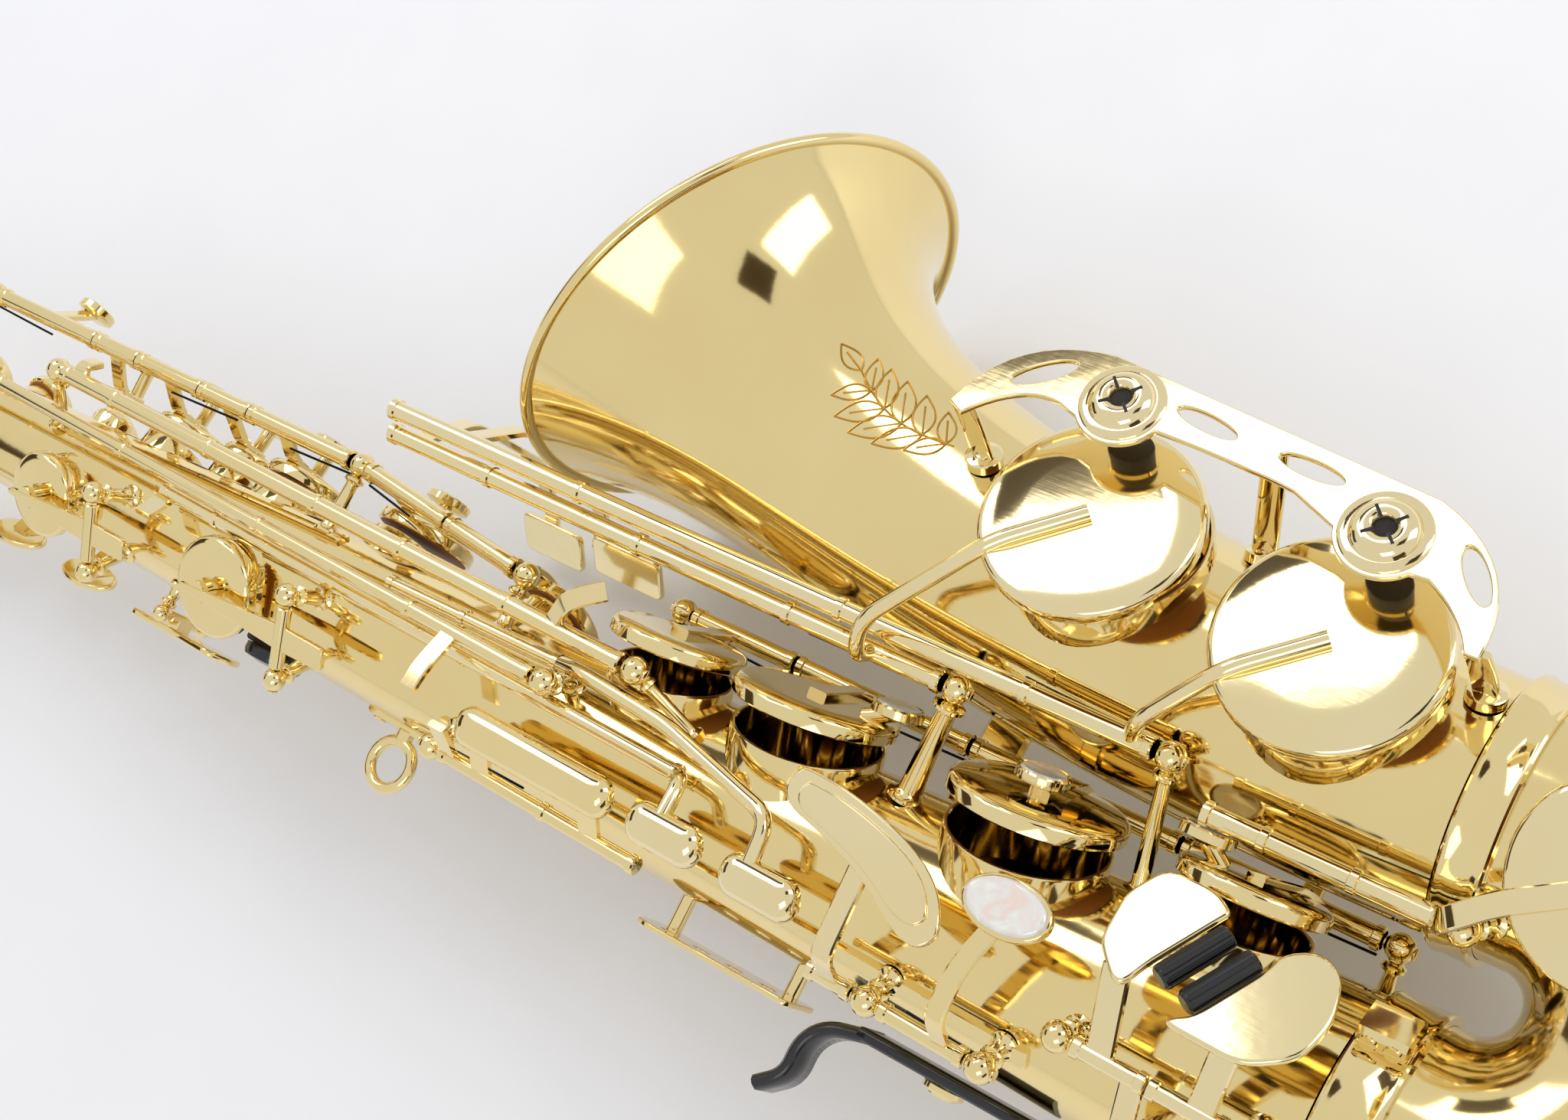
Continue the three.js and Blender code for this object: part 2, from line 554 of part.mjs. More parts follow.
// C sharp guard on the left of the bell: its flat bumper is one of the three resting points.
const FLOOR_SLOPE = Math.tan(rad(REST_ROLL));
const floorAt = (y) => -RIM_R - RIM_WIRE * 1.3 + FLOOR_SLOPE * (RIM_CENTRE[1] - y);
const DOWN = V(0, -Math.sin(rad(REST_ROLL)), -Math.cos(rad(REST_ROLL)));
const SHARP_GUARD = V(482, 82, floorAt(82));
fixed("low_c_sharp_guard", [
  turned([[0, 0], [7, 0], [7, 3], [0, 3]], SHARP_GUARD, DOWN.clone().negate(), 14),
  bentBar([onBell(493, 3, -40), SHARP_GUARD.clone().add(V(13, 12, 5)), SHARP_GUARD.clone().add(V(0, 0, 3))], ARM_T, ARM_W, X),
  bentBar([onBell(493, 3, -118), SHARP_GUARD.clone().add(V(13, -13, 5)), SHARP_GUARD.clone().add(V(0, 0, 3))], ARM_T, ARM_W, X),
].flat());

// Frame of the left-hand table: two posts and a bar that also carries the instrument when it lies down.
const TABLE_FOOT_Y = -13;
const tableFoot = (x) => V(x, TABLE_FOOT_Y, floorAt(TABLE_FOOT_Y) + 1.6);
fixed("table_key_frame", [
  rib(214, 308, -106, -77),
  postOn(218, -80, LINES.table_left[0].clone().setX(218)),
  postOn(306, -80, LINES.c_sharp[0].clone().setX(304)),
  rod(onBody(218, FOOT, -102), tableFoot(218), 2.4),
  rod(onBody(304, FOOT, -102), tableFoot(304), 2.4),
  bar(tableFoot(215), tableFoot(307), 7, 3.2, DOWN),
]);


// Strap ring, thumb hook, thumb rest, side guard and bell brace.
const STRAP = V(248, -bodyRadius(248) - STRAP_RING_R - 3.6, 3);
fixed("strap_ring", [
  rib(234, 262, 168, 184),
  solid(new THREE.TorusGeometry(STRAP_RING_R, STRAP_WIRE_R, 5, 12).translate(STRAP.x, STRAP.y, STRAP.z)),
  rod(V(248, -bodyRadius(248) - FOOT, 3), V(248, STRAP.y + STRAP_RING_R, 3), 2.2),
]);
const HOOK_X = 398;
const hookY = -bodyRadius(HOOK_X + 30);
fixed("thumb_hook", [
  bar(V(HOOK_X + 4, hookY - 4.6, 4), V(HOOK_X + 50, hookY - 4.6, 4), 12, 3, V(0, -1, 0)),
  bentBar([V(HOOK_X + 6, hookY - 4.6, 4), V(HOOK_X - 4, hookY - 7, 4), V(HOOK_X - 8.5, hookY - 13, 4),
    V(HOOK_X - 8, hookY - 21, 4), V(HOOK_X - 14, hookY - 26, 4)], 3.4, 12, Z),
].flat(), "black");
fixed("thumb_rest", [
  rib(184, 204, 171, 189),
  turned([[0, 0], [8.5, 0], [8, 3], [4, 4], [0, 4]], onBody(194, GAP + 0.5, 180), facing(180), 12),
]);
const guardShape = outline([[-24, -8], [24, -8], [24, 9], [-20, 9], [-24, 5]]);
for (const u of [-15, -5, 5, 15]) {
  const hole = new THREE.Path();
  hole.absellipse(u, 3, 2.4, 1.7, 0, 2 * Math.PI);
  guardShape.holes.push(hole);
}
fixed("side_guard", [
  plate(guardShape, 1.4, V(357, -bodyRadius(362) - 9, -4), X, Z, 4),
  rod(V(339, -bodyRadius(339) - 0.9, -8), V(339, -bodyRadius(362) - 9.6, -8), 2),
  rod(V(375, -bodyRadius(375) - 0.9, -8), V(375, -bodyRadius(362) - 9.6, -8), 2),
]);
const BRACE_X = 389;
const braceEnds = [onBody(BRACE_X, FOOT, -50), onBell(BRACE_X, 2, -132)];
fixed("bell_brace", [
  rib(BRACE_X - 9, BRACE_X + 9, -58, -42),
  bar(...braceEnds, 3, 12, X),
  bar(braceEnds[1].clone().add(V(-8, 0.4, 0.4)), braceEnds[1].clone().add(V(8, 0.4, 0.4)), 8, 2, facing(-132)),
]);

// ---------- keys ----------
const cupProfile = (r) => [[0, 0], [r, 0], [r, CUP_HEIGHT * 0.6], [r - 1.4, CUP_HEIGHT], [0, CUP_HEIGHT]];
const cupOver = (hole, sides = 12) =>
  turned(cupProfile(hole.r + HOLE_WALL + CUP_LIP - 1), holeTop(hole, GAP), facing(hole.deg), hole.r < 8 ? 8 : sides);
const cupTop = (hole, rise = 0) => holeTop(hole, GAP + CUP_HEIGHT + rise);
const pearl = (centre, n, r = PEARL_R) => turned([[0, -1], [r, -1], [r, 2.2], [0, 2.2]], centre, n, 8);

// A key on a hinge line: tube, arm to its cup, and anything more that moves with it.
function stackKey(name, line, [x0, x1], hole, { armX, angle, open, radius = ROD_R, extra = [], via = [] }) {
  const [a, b] = line;
  const n = facing(hole.deg);
  const top = cupTop(hole, -0.8);
  const start = along(a, b, armX);
  const sign = liftSign(a, b, top, n);
  const parts = [
    span(line, x0, x1, radius), cupOver(hole), bentBar([start, ...via, top], ARM_T, ARM_W, X), extra,
  ];
  const turn = sign * angle;
  const travel = open ? [Math.min(0, -turn), Math.max(0, -turn)] : [Math.min(0, turn), Math.max(0, turn)];
  return hinged(name, along(a, b, x0), along(a, b, x1), parts, { open: open ? turn : 0, travel, material: "lacquer" });
}
const pearlOn = (hole, dx, out, aside = 0) => {
  const n = facing(hole.deg);
  const t = facing(hole.deg + 90);
  const centre = cupTop(hole, out).addScaledVector(t, aside).setX(hole.x + dx);
  return [pearl(centre, n), rod(cupTop(hole, -1).addScaledVector(t, aside * 0.5).setX(hole.x + dx * 0.6), centre, 2.2)];
};

const H = HOLES;
stackKey("key_c_vent", LINES.upper, [86.5, 105.5], H.c_vent, { armX: 95, angle: 9, open: true, extra: pearlOn(H.c_vent, 0, 12) });
stackKey("key_b", LINES.upper, [106, 133], H.b, { armX: 119, angle: 10, open: true, extra: pearlOn(H.b, 0, 11) });
stackKey("key_bis", LINES.upper, [133.5, 154], H.bis, { armX: 144, angle: 9, open: true, extra: pearlOn(H.bis, 0, 9) });
stackKey("key_a", LINES.upper, [154.5, 199 - END], H.a, { armX: 168, angle: 10, open: true, extra: pearlOn(H.a, 0, 10) });
stackKey("key_g", LINES.g, [199 + END, 236], H.g, { armX: 214, angle: 10, open: true, extra: pearlOn(H.g, 0, 8) });
stackKey("key_g_sharp", LINES.g, [237, 268 - END], H.g_sharp, { armX: 258, angle: 11, open: false,
  via: [V(258, 32, -1)] });
const frontF = V(62, 44, -6);
hinged("front_f_lever", along(...LINES.upper, 37 + END), along(...LINES.upper, 86), [
  span(LINES.upper, 37 + END, 86, ROD_R),
  bentBar([along(...LINES.upper, 62), V(62, 41, 0), frontF], ARM_T, ARM_W, X),
  pearl(frontF, V(0, 1, -0.3).normalize(), 6),
], { travel: [-9, 0] });
stackKey("key_f_sharp", LINES.lower, [300 + END, 336], H.f_sharp, { armX: 317, angle: 12, open: true });
stackKey("key_f", LINES.lower, [337, 388], H.f, { armX: 359, angle: 11, open: true, extra: pearlOn(H.f, 18.5, 3, -4) });
stackKey("key_e", LINES.lower, [389, 444], H.e, { armX: 420, angle: 11, open: true, extra: pearlOn(H.e, -1, 3) });
stackKey("key_d", LINES.lower, [445, 497 - END], H.d, { armX: 478, angle: 12, open: true,
  extra: pearlOn(H.d, -12, 4, 6) });

// Link rod that runs beside the stacks and carries the motion of the lower stack to the upper one.
hinged("link_rod", along(...LINES.link, 92 + END), along(...LINES.link, 320 - END), [
  span(LINES.link, 92 + END, 320 - END, ROD_R),
  bentBar([along(...LINES.link, 292), V(297, 27, 36), V(304, 33, 33)], 5, 2, Z),
  bentBar([along(...LINES.link, 104), V(104, 27, 27), V(104, 30, 22)], ARM_T, ARM_W, X),
], { travel: [-3, 0] });

// Side keys: a long rod for the high E, and pivoted cups for the C and B flat.
const sideCupArm = (hole, s, tail) => {
  const reach = s.centre.x - hole.x;
  const shape = outline([[-reach - 2, 0.6], [-reach - 2, -0.6], [0, -3.6], [tail, -3], [tail, 3], [0, 3.6]]);
  return plate(shape, 1.8, s.centre.clone().addScaledVector(s.n, 0.9), X, s.t);
};
function sideCup(name, hole, s, tail, angle) {
  const n = facing(hole.deg);
  const drop = s.centre.clone().setX(hole.x);
  const inner = SADDLE_HALF - (BALL_R - 0.4) - GAP;
  const a = s.centre.clone().addScaledVector(s.t, -inner);
  const b = s.centre.clone().addScaledVector(s.t, inner);
  const sign = liftSign(a, b, cupTop(hole), n);
  return hinged(name, a, b, [
    rod(a, b, THIN_R), sideCupArm(hole, s, tail), cupOver(hole), rod(cupTop(hole, -1), drop, 2.2),
  ], { travel: [Math.min(0, sign * angle), Math.max(0, sign * angle)] });
}
sideCup("side_c_cup", H.side_c, SIDE_C, 15, 12);
sideCup("side_b_flat_cup", H.side_b_flat, SIDE_B_FLAT, 16, 12);
stackKey("side_e_cup", LINES.side_e, [30 + END, 299 - END], H.side_e, { armX: 46, angle: 12, open: false,
  extra: [bentBar([V(267, 8.2, 30.5), V(267, -3, 35.5), V(267, -9, 36.5)], ARM_T, ARM_W, X)].flat() });

// Touches of the side keys: rounded bars across the player's right palm.
function capsule(x0, x1, deg, rise, half = 5.2) {
  const n = facing(deg);
  const t = facing(deg + 90);
  const shape = new THREE.Shape();
  shape.moveTo(-half, 0);
  shape.lineTo(half, 0);
  shape.quadraticCurveTo(half, half * 0.8, 0, half * 0.85);
  shape.quadraticCurveTo(-half, half * 0.8, -half, 0);
  const start = onBody(x0, rise, deg);
  const end = onBody(x1, rise, deg);
  const dir = end.clone().sub(start);
  const body = new THREE.ExtrudeGeometry(shape, { depth: dir.length(), bevelEnabled: false, curveSegments: 2 });
  dir.normalize();
  const up = new THREE.Vector3().crossVectors(dir, t).normalize();
  const sign = Math.sign(up.dot(n));
  return placed(body, start, t.clone().multiplyScalar(sign), up.multiplyScalar(sign), dir);
}
const towards = (line, x, deg, rise) => bar(along(...line, x), onBody(x, rise + 1.4, deg), ARM_T, ARM_W + 1, X);
hinged("side_e_touch", along(...LINES.back, 272 + END), along(...LINES.back, 341), [
  span(LINES.back, 272 + END, 341, THIN_R),
  capsule(282, 333, 108, 12), towards(LINES.back, 290, 110, 12), towards(LINES.back, 326, 110, 12),
  bar(along(...LINES.back, 279), V(279, -14, 35), ARM_T, ARM_W, X),
], { travel: [0, 7] });
const bentTouch = (line, x0, x1, touch0, touch1, elbow) => [
  span(line, x0, x1, THIN_R), capsule(touch0, touch1, 108, 12),
  bentRod([along(...line, x1 - 1), ...elbow], 2, 6),
].flat();
hinged("side_c_touch", LINES.side_c[0], LINES.side_c[1], [
  ...bentTouch(LINES.side_c, 150, 342, 338, 360, [V(346, 1, 33.5), onBody(347, 13.4, 104)]),
  bar(along(...LINES.side_c, 153), V(153, -2, 28), ARM_T, ARM_W + 1, X),
], { travel: [0, 8] });
hinged("side_b_flat_touch", LINES.side_b_flat[0], LINES.side_b_flat[1], [
  ...bentTouch(LINES.side_b_flat, 236, 296, 366, 388, [V(303, 13, 27.5), V(334, 11, 31), V(372, 3, 36.5), onBody(373, 13.4, 104)]),
], { travel: [0, 5] });

// High F sharp: spatula touch on the back rod and a small remote cup at the top of the body.
const spatula = new THREE.Shape();
spatula.moveTo(-24, 4);
spatula.quadraticCurveTo(-27, -5, -16, -5);
spatula.quadraticCurveTo(2, -6, 13, -11);
spatula.quadraticCurveTo(25, -15, 25, -7);
spatula.quadraticCurveTo(20, 3, 4, 5);
spatula.quadraticCurveTo(-12, 7, -24, 4);
const SPATULA_N = facing(78);
const spatulaU = V(0.985, -0.17, 0).normalize();
const spatulaV = new THREE.Vector3().crossVectors(SPATULA_N, spatulaU).normalize();
hinged("high_f_sharp_touch", along(...LINES.back, 392), along(...LINES.back, 408 - END), [
  span(LINES.back, 392, 408 - END, THIN_R),
  plate(spatula, 1.8, onBody(399, 15, 78), spatulaU, spatulaV, 5),
  bentBar([along(...LINES.back, 398), V(399, -18, 39), onBody(399, 15.6, 80)], ARM_T, ARM_W, X),
].flat(), { travel: [0, 6] });
// Alternate F sharp: an oval pearl on a stem from the back rod.
const altCentre = onBody(434, 17, 78);
const altN = facing(80);
hinged("alt_f_sharp", along(...LINES.back, 408 + END), along(...LINES.back, 438 - END), [
  span(LINES.back, 408 + END, 438 - END, THIN_R),
  bentBar([along(...LINES.back, 428), V(428, -18, 38.5), V(430, -6, 43), altCentre.clone().addScaledVector(altN, -1)], ARM_T, 4.4, X),
  plate(oval(10.6, 6.6), 3.2, altCentre.clone().addScaledVector(altN, -1), X, new THREE.Vector3().crossVectors(altN, X), 5),
].flat(), { travel: [0, 7] });

// Low E flat and low C touches with their rollers.
const TABLE_N = facing(65);
const TABLE_V = new THREE.Vector3().crossVectors(TABLE_N, X).normalize();
const TABLE_O = TABLE_N.clone().multiplyScalar(44).setX(474);
const tableAt = (u, v, n = 0) => TABLE_O.clone().addScaledVector(X, u).addScaledVector(TABLE_V, v).addScaledVector(TABLE_N, n);
const ROLL_DIR = [0.43, 0.903];
const rollerLine = (u, v) =>
  [-0.5, 0.5].map((s) => tableAt(u + s * ROLLER_LENGTH * ROLL_DIR[0], v + s * ROLLER_LENGTH * ROLL_DIR[1], 0.6));

const TABLE_LINE = LINES.table_right;
const C_TRAVEL = 6;
const eFlat = outline([[-19, -8], [-12, -15], [-9.5, -14], [-7.9, -8.5], [-0.3, 7.6], [1, 10], [-4, 13], [-15.5, 13], [-20, 4]]);
const eFlatCup = cupTop(H.e_flat, -0.8);
const eFlatKey = hinged("low_e_flat_key", along(...TABLE_LINE, 453 + END), along(...TABLE_LINE, 474), [
  span(TABLE_LINE, 453 + END, 474, THIN_R),
  plate(eFlat, 1.8, tableAt(0, 0), X, TABLE_V),
  bentBar([along(...TABLE_LINE, 463), tableAt(-13, -11, 0.9)], ARM_T, ARM_W + 1, X),
  bentBar([along(...TABLE_LINE, 471), eFlatCup.clone().setX(471).addScaledVector(facing(142), 3), eFlatCup], ARM_T, ARM_W, X),
  cupOver(H.e_flat),
].flat(), { travel: [-8, 0] });
const lowC = outline([[5.3, -13.8], [2, -15.8], [1, -18], [18, -18.5], [27, -12], [29, -2], [26, 8], [20, 11], [13.5, 7], [12.9, 2.2]]);
const lowCKey = hinged("low_c_touch", along(...TABLE_LINE, 474.6), along(...TABLE_LINE, 496 - END), [
  span(TABLE_LINE, 474.6, 496 - END, THIN_R),
  plate(lowC, 1.8, tableAt(0, 0), X, TABLE_V),
  bentBar([along(...TABLE_LINE, 486), tableAt(14, -15, 0.9)], ARM_T, ARM_W + 1, X),
].flat(), { travel: [-C_TRAVEL, 0] });
// Each roller turns on its plate; the plates' notches leave room for it.
for (const [name, u, v, carrier, owner] of [
  ["e_flat_roller", -1, -1.9, eFlatKey, "low_e_flat_key"],
  ["low_c_roller", 6, -4.3, lowCKey, "low_c_touch"],
]) {
  const [a, b] = rollerLine(u, v);
  hinged(name, a, b, [rod(a, b, ROLLER_R, 12)], { travel: "continuous", material: "black", parent: carrier, carrier: owner });
}

// Low C cup on the front rod, and the big bell keys.
const C_CUP_N = Z.clone();
const cTop = V(LOW_C.centre.x, LOW_C.centre.y, BODY_END_R + HOLE_RISE + GAP);
hinged("low_c_cup", along(...LINES.low_c, 453 + END), along(...LINES.low_c, 514 - END), [
  span(LINES.low_c, 453 + END, 514 - END, ROD_R),
  turned(cupProfile(LOW_C.r + 3), cTop, C_CUP_N, 14),
  bentBar([along(...LINES.low_c, 508), V(511, 46, 35), V(520, 54, 38.5), cTop.clone().setZ(cTop.z + CUP_HEIGHT)], 5, 2, Z),
].flat(), { open: 12, travel: [-12, 0] });
function bellKey(name, line, [x0, x1], hole, arm, angle, touch) {
  const top = cupTop(hole, -0.2);
  const sign = liftSign(...line, top, facing(hole.deg));
  return hinged(name, along(...line, x0), along(...line, x1), [
    span(line, x0, x1, ROD_R), cupOver(hole, 14), bentRod([...arm, top], 1.9, 6), touch,
  ].flat(), { open: sign * angle, travel: [Math.min(0, -sign * angle), Math.max(0, -sign * angle)] });
}
const tableTouch = (x, y, z, half, length) => {
  const n = V(0, y, z).normalize();
  return plate(outline([[-half, -length], [half, -length], [half + 1, length], [-half + 1, length]]), 2, V(x, y, z), X,
    new THREE.Vector3().crossVectors(n, X).normalize());
};
const leverPath = (line, x, reach) => [along(...line, x), V(x, reach, 6), V(x, reach - 5, -28), V(x, 38, -43), V(x, 32, -45)];
bellKey("low_b_key", LINES.low_b, [212 + END, 394 - END], H.low_b,
  [V(371, 47, 25), V(371, 45, 33), V(373, 54, 40), V(385, 70, 45)], 10,
  [bentBar(leverPath(LINES.low_b, 224, 56), ARM_T, ARM_W, X), tableTouch(226, 30, -44, 11, 6)].flat());
bellKey("low_b_flat_key", LINES.low_b_flat, [212 + END, 446.5 - END], H.low_b_flat,
  [V(437, 52.4, 29), V(439, 57, 36), V(447, 66, 42)], 11,
  [bentBar(leverPath(LINES.low_b_flat, 241, 59), ARM_T, ARM_W, X), tableTouch(252, 30, -44, 12.5, 6)].flat());
stackKey("low_c_sharp_cup", LINES.c_sharp, [306.6 + BALL_R, 490 - END], H.c_sharp, { armX: 466, angle: 9, open: false,
  via: [V(466, 38, -44), V(466, 64, -44)] });
const TOUCH_END = 304 - BALL_R - 0.5; // just short of the ball on the C sharp rod's post
hinged("low_c_sharp_touch", along(...LINES.table_left, 266), along(...LINES.table_left, TOUCH_END), [
  span(LINES.table_left, 266, TOUCH_END, THIN_R), bar(along(...LINES.table_left, 284), V(284, -5, -43), ARM_T, ARM_W + 1, X),
  tableTouch(284, -5, -42, 14, 6),
], { travel: [-8, 0] });
hinged("g_sharp_touch", along(...LINES.table_left, 218 + END), along(...LINES.table_left, 265), [
  span(LINES.table_left, 218 + END, 265, THIN_R), bar(along(...LINES.table_left, 244), V(244, 14.1, -43.6), ARM_T, ARM_W + 1, X),
  tableTouch(244, 14, -42.5, 20, 5),
], { travel: [0, 8] });

// Palm keys: short tubes on the left, cups in front, touches curving round to the back.
for (const [name, x0, x1, hole, touchX] of [
  ["palm_f_key", 10 + END, 40, H.palm_f, 22],
  ["palm_e_flat_key", 40.5, 70, H.palm_e_flat, 58],
  ["palm_d_key", 70.5, 108 - END, H.palm_d, 92],
]) {
  const back = onBody(touchX, 21, -138);
  stackKey(name, LINES.palm, [x0, x1], hole, { armX: hole.x, angle: 10, open: false, radius: THIN_R,
    via: [onBody(hole.x, 9.6, -74), onBody(hole.x, 10, -60)], extra: [
    bentBar([along(...LINES.palm, touchX), onBody(touchX, 19, -112), back], ARM_T, ARM_W + 1, X),
    plate(oval(11, 6), 2.2, back, X, new THREE.Vector3().crossVectors(facing(-138), X).normalize(), 4),
  ].flat() });
}

// Octave mechanism: thumb lever on the back.
hinged("octave_thumb_lever", OCTAVE.clone().setZ(-5.6), OCTAVE.clone().setZ(5.6), [
  rod(OCTAVE.clone().setZ(-5.6), OCTAVE.clone().setZ(5.6), 1.8),
  plate(outline([[-16, -4.5], [6, -4.5], [20, -8], [24, 0], [20, 8], [6, 4.5], [-16, 4.5]]), 2, OCTAVE.clone().add(V(0, -2.6, 0)), X, Z),
  bar(OCTAVE, OCTAVE.clone().add(V(0, -3, 0)), 6, 4, X),
], { travel: [-5, 0] });

// ---------- neck and mouthpiece ----------
const NECK_R_END = 6.4;
const neckAxis = new THREE.CatmullRomCurve3([
  V(-1, 0, 0), V(-30, 0, 0), V(-62, -4, 0), V(-92, -22, 0), V(-108, -54, 0), V(-114, -92, 0), V(-118, -128, 0),
]);
const neckRadius = (t) => NECK_BORE_R - 0.6 + (NECK_R_END - NECK_BORE_R + 0.6) * Math.min(1, t * 1.2);
const NECK_PIVOT = [V(-30, 0, 0), V(-10, 0, 0)];
const neckEnd = neckAxis.getPointAt(1);
const neckDir = neckAxis.getTangentAt(1);
const OCTAVE_T = 0.34;
const octavePoint = neckAxis.getPointAt(OCTAVE_T);
const outside = new THREE.Vector3().crossVectors(neckAxis.getTangentAt(OCTAVE_T), Z).normalize().negate();
const octaveHinge = octavePoint.clone().addScaledVector(outside, neckRadius(OCTAVE_T) + 4);
const OCTAVE_POST_Z = 8;
const octavePosts = [-1, 1].map((side) => [
  rod(octavePoint.clone().addScaledVector(outside, neckRadius(OCTAVE_T) - 3).setZ(side * 6),
    octaveHinge.clone().setZ(side * OCTAVE_POST_Z), 1.6, 6),
  ball(octaveHinge.clone().setZ(side * OCTAVE_POST_Z), 2.2),
]).flat();
const neck = hinged("neck_tube", ...NECK_PIVOT, [
  loft(neckAxis, neckRadius, 10, 10).add(join(octavePosts)).subtract(loft(neckAxis, (t) => neckRadius(t) - WALL, 10, 10, -0.02, 1.02)),
], { travel: [-20, 20], material: "body" });
const onNeck = (name, parts, material) => neck.add(meshOf(name, join(parts), material, NECK_PIVOT[0]));
const backFrom = (distance) => neckEnd.clone().addScaledVector(neckDir, -distance);
const CORK_T = 1.6;
const CORK_LENGTH = 24;
onNeck("neck_cork", [
  turned([[NECK_R_END + GAP, 0], [NECK_R_END + CORK_T, 0], [NECK_R_END + CORK_T, CORK_LENGTH],
    [NECK_R_END + GAP, CORK_LENGTH], [NECK_R_END + GAP, 0]], backFrom(CORK_LENGTH + 1), neckDir, 12),
], "cork");
const MOUTH_BORE = NECK_R_END + CORK_T + GAP;
const mouthBase = backFrom(20);
const mouthUp = new THREE.Vector3().crossVectors(neckDir, Z).normalize();
function mouthpiece() {
  const bodyPart = turned([[0, 0], [MOUTHPIECE_R, 0], [MOUTHPIECE_R + 0.6, 4], [MOUTHPIECE_R, 8],
    [MOUTHPIECE_R - 0.8, 50], [MOUTHPIECE_R - 2, MOUTHPIECE_LENGTH], [0, MOUTHPIECE_LENGTH]], mouthBase, neckDir, 14);
  const side = new THREE.Vector3().crossVectors(neckDir, mouthUp);
  const wedge = plate(outline([[48, MOUTHPIECE_R + 2], [MOUTHPIECE_LENGTH + 2, MOUTHPIECE_R + 2],
    [MOUTHPIECE_LENGTH + 2, -7]]), 40, mouthBase.clone().addScaledVector(side, -20), neckDir, mouthUp);
  const tableCut = plate(outline([[30, -MOUTHPIECE_R - 3], [MOUTHPIECE_LENGTH + 2, -MOUTHPIECE_R - 3],
    [MOUTHPIECE_LENGTH + 2, -MOUTHPIECE_R + 4.4], [30, -MOUTHPIECE_R + 3.6]]), 40,
  mouthBase.clone().addScaledVector(side, -20), neckDir, mouthUp);
  const boreCut = rod(mouthBase.clone().addScaledVector(neckDir, -2), mouthBase.clone().addScaledVector(neckDir, 46), MOUTH_BORE, 12);
  return bodyPart.subtract(wedge).subtract(tableCut).subtract(boreCut);
}
onNeck("mouthpiece", [mouthpiece()], "ebonite");
const reedSide = new THREE.Vector3().crossVectors(neckDir, mouthUp);
onNeck("reed", [
  plate(outline([[34, -MOUTHPIECE_R + 3.2], [86, -MOUTHPIECE_R + 3.9], [86, -MOUTHPIECE_R + 3.5],
    [62, -MOUTHPIECE_R + 1.2], [34, -MOUTHPIECE_R + 0.8]]), 13, mouthBase.clone().addScaledVector(reedSide, -6.5), neckDir, mouthUp),
], "cane");
const LIGATURE_R = MOUTHPIECE_R + 1.5;
onNeck("ligature", [
  turned([[LIGATURE_R, 0], [LIGATURE_R + 0.9, 0], [LIGATURE_R + 0.9, 18], [LIGATURE_R, 18], [LIGATURE_R, 0]],
    mouthBase.clone().addScaledVector(neckDir, 36), neckDir, 14),
], "lacquer");
const octavePath = [0.16, 0.24, OCTAVE_T, 0.46, 0.58, 0.68].map((t) => {
  const away = new THREE.Vector3().crossVectors(neckAxis.getTangentAt(t), Z).normalize().negate();
  return neckAxis.getPointAt(t).addScaledVector(away, neckRadius(t) + 4.2);
});
hinged("neck_octave_key", octaveHinge.clone().setZ(-5), octaveHinge.clone().setZ(5), [
  rod(octaveHinge.clone().setZ(-5), octaveHinge.clone().setZ(5), 1.8),
  bentBar(octavePath, 1.8, 6, Z),
].flat(), { travel: [0, 4], parent: neck, carrier: "neck_tube" });
const SCREW = V(-5, -bodyRadius(0) - 5, 12.6);
hinged("neck_screw", SCREW, SCREW.clone().setZ(SCREW.z - 6), [
  turned([[0, 0], [2, 0], [2, 4], [4.4, 5], [4.4, 8], [0, 8]], SCREW.clone().setZ(SCREW.z - 6.8), Z, 12),
  bar(SCREW.clone().add(V(-6, 0, 3)), SCREW.clone().add(V(6, 0, 3)), 2.4, 6, Z),
], { travel: "continuous" });

// ---------- resting pose and origin ----------
const rolled = new THREE.Group();
rolled.rotation.x = rad(REST_ROLL);
rolled.add(instrument);
const part = new THREE.Group();
part.add(rolled);
part.updateMatrixWorld(true);
const box = new THREE.Box3().setFromObject(part, true);
const middle = box.getCenter(V(0, 0, 0));
rolled.position.set(-middle.x, -middle.y, -box.min.z);
part.updateMatrixWorld(true);

export default part;
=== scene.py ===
"""The looks of an alto saxophone in gold lacquer, lying on its side on a pale table.

Pieces are drawn in millimetres along X, as the maker's drawing has them: the body tube runs from the neck
receiver (x = 0) to the bow, its front faces +Y and the player's right side faces +Z. PLACE turns that drawing
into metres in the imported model's frame, so every piece lands on the node it stands for.
"""
import json
import math

import bmesh
import bpy
from mathutils import Matrix, Vector


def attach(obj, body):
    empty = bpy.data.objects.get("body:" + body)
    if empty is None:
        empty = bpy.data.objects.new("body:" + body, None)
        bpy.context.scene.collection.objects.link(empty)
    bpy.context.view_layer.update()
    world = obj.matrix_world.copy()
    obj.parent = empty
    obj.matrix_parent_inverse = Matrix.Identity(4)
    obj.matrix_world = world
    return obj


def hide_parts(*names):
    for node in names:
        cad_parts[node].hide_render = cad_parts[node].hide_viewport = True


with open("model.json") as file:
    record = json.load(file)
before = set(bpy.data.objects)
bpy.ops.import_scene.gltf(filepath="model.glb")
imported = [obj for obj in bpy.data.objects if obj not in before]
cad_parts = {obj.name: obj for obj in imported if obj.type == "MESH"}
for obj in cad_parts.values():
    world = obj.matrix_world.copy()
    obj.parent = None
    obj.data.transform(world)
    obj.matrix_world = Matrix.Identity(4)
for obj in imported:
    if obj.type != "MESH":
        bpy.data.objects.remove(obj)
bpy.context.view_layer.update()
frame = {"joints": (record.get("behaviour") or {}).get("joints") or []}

# ---------- driving dimensions, mm ----------
GAP = 0.4
WALL = 1.2
BODY_LENGTH = 502.6
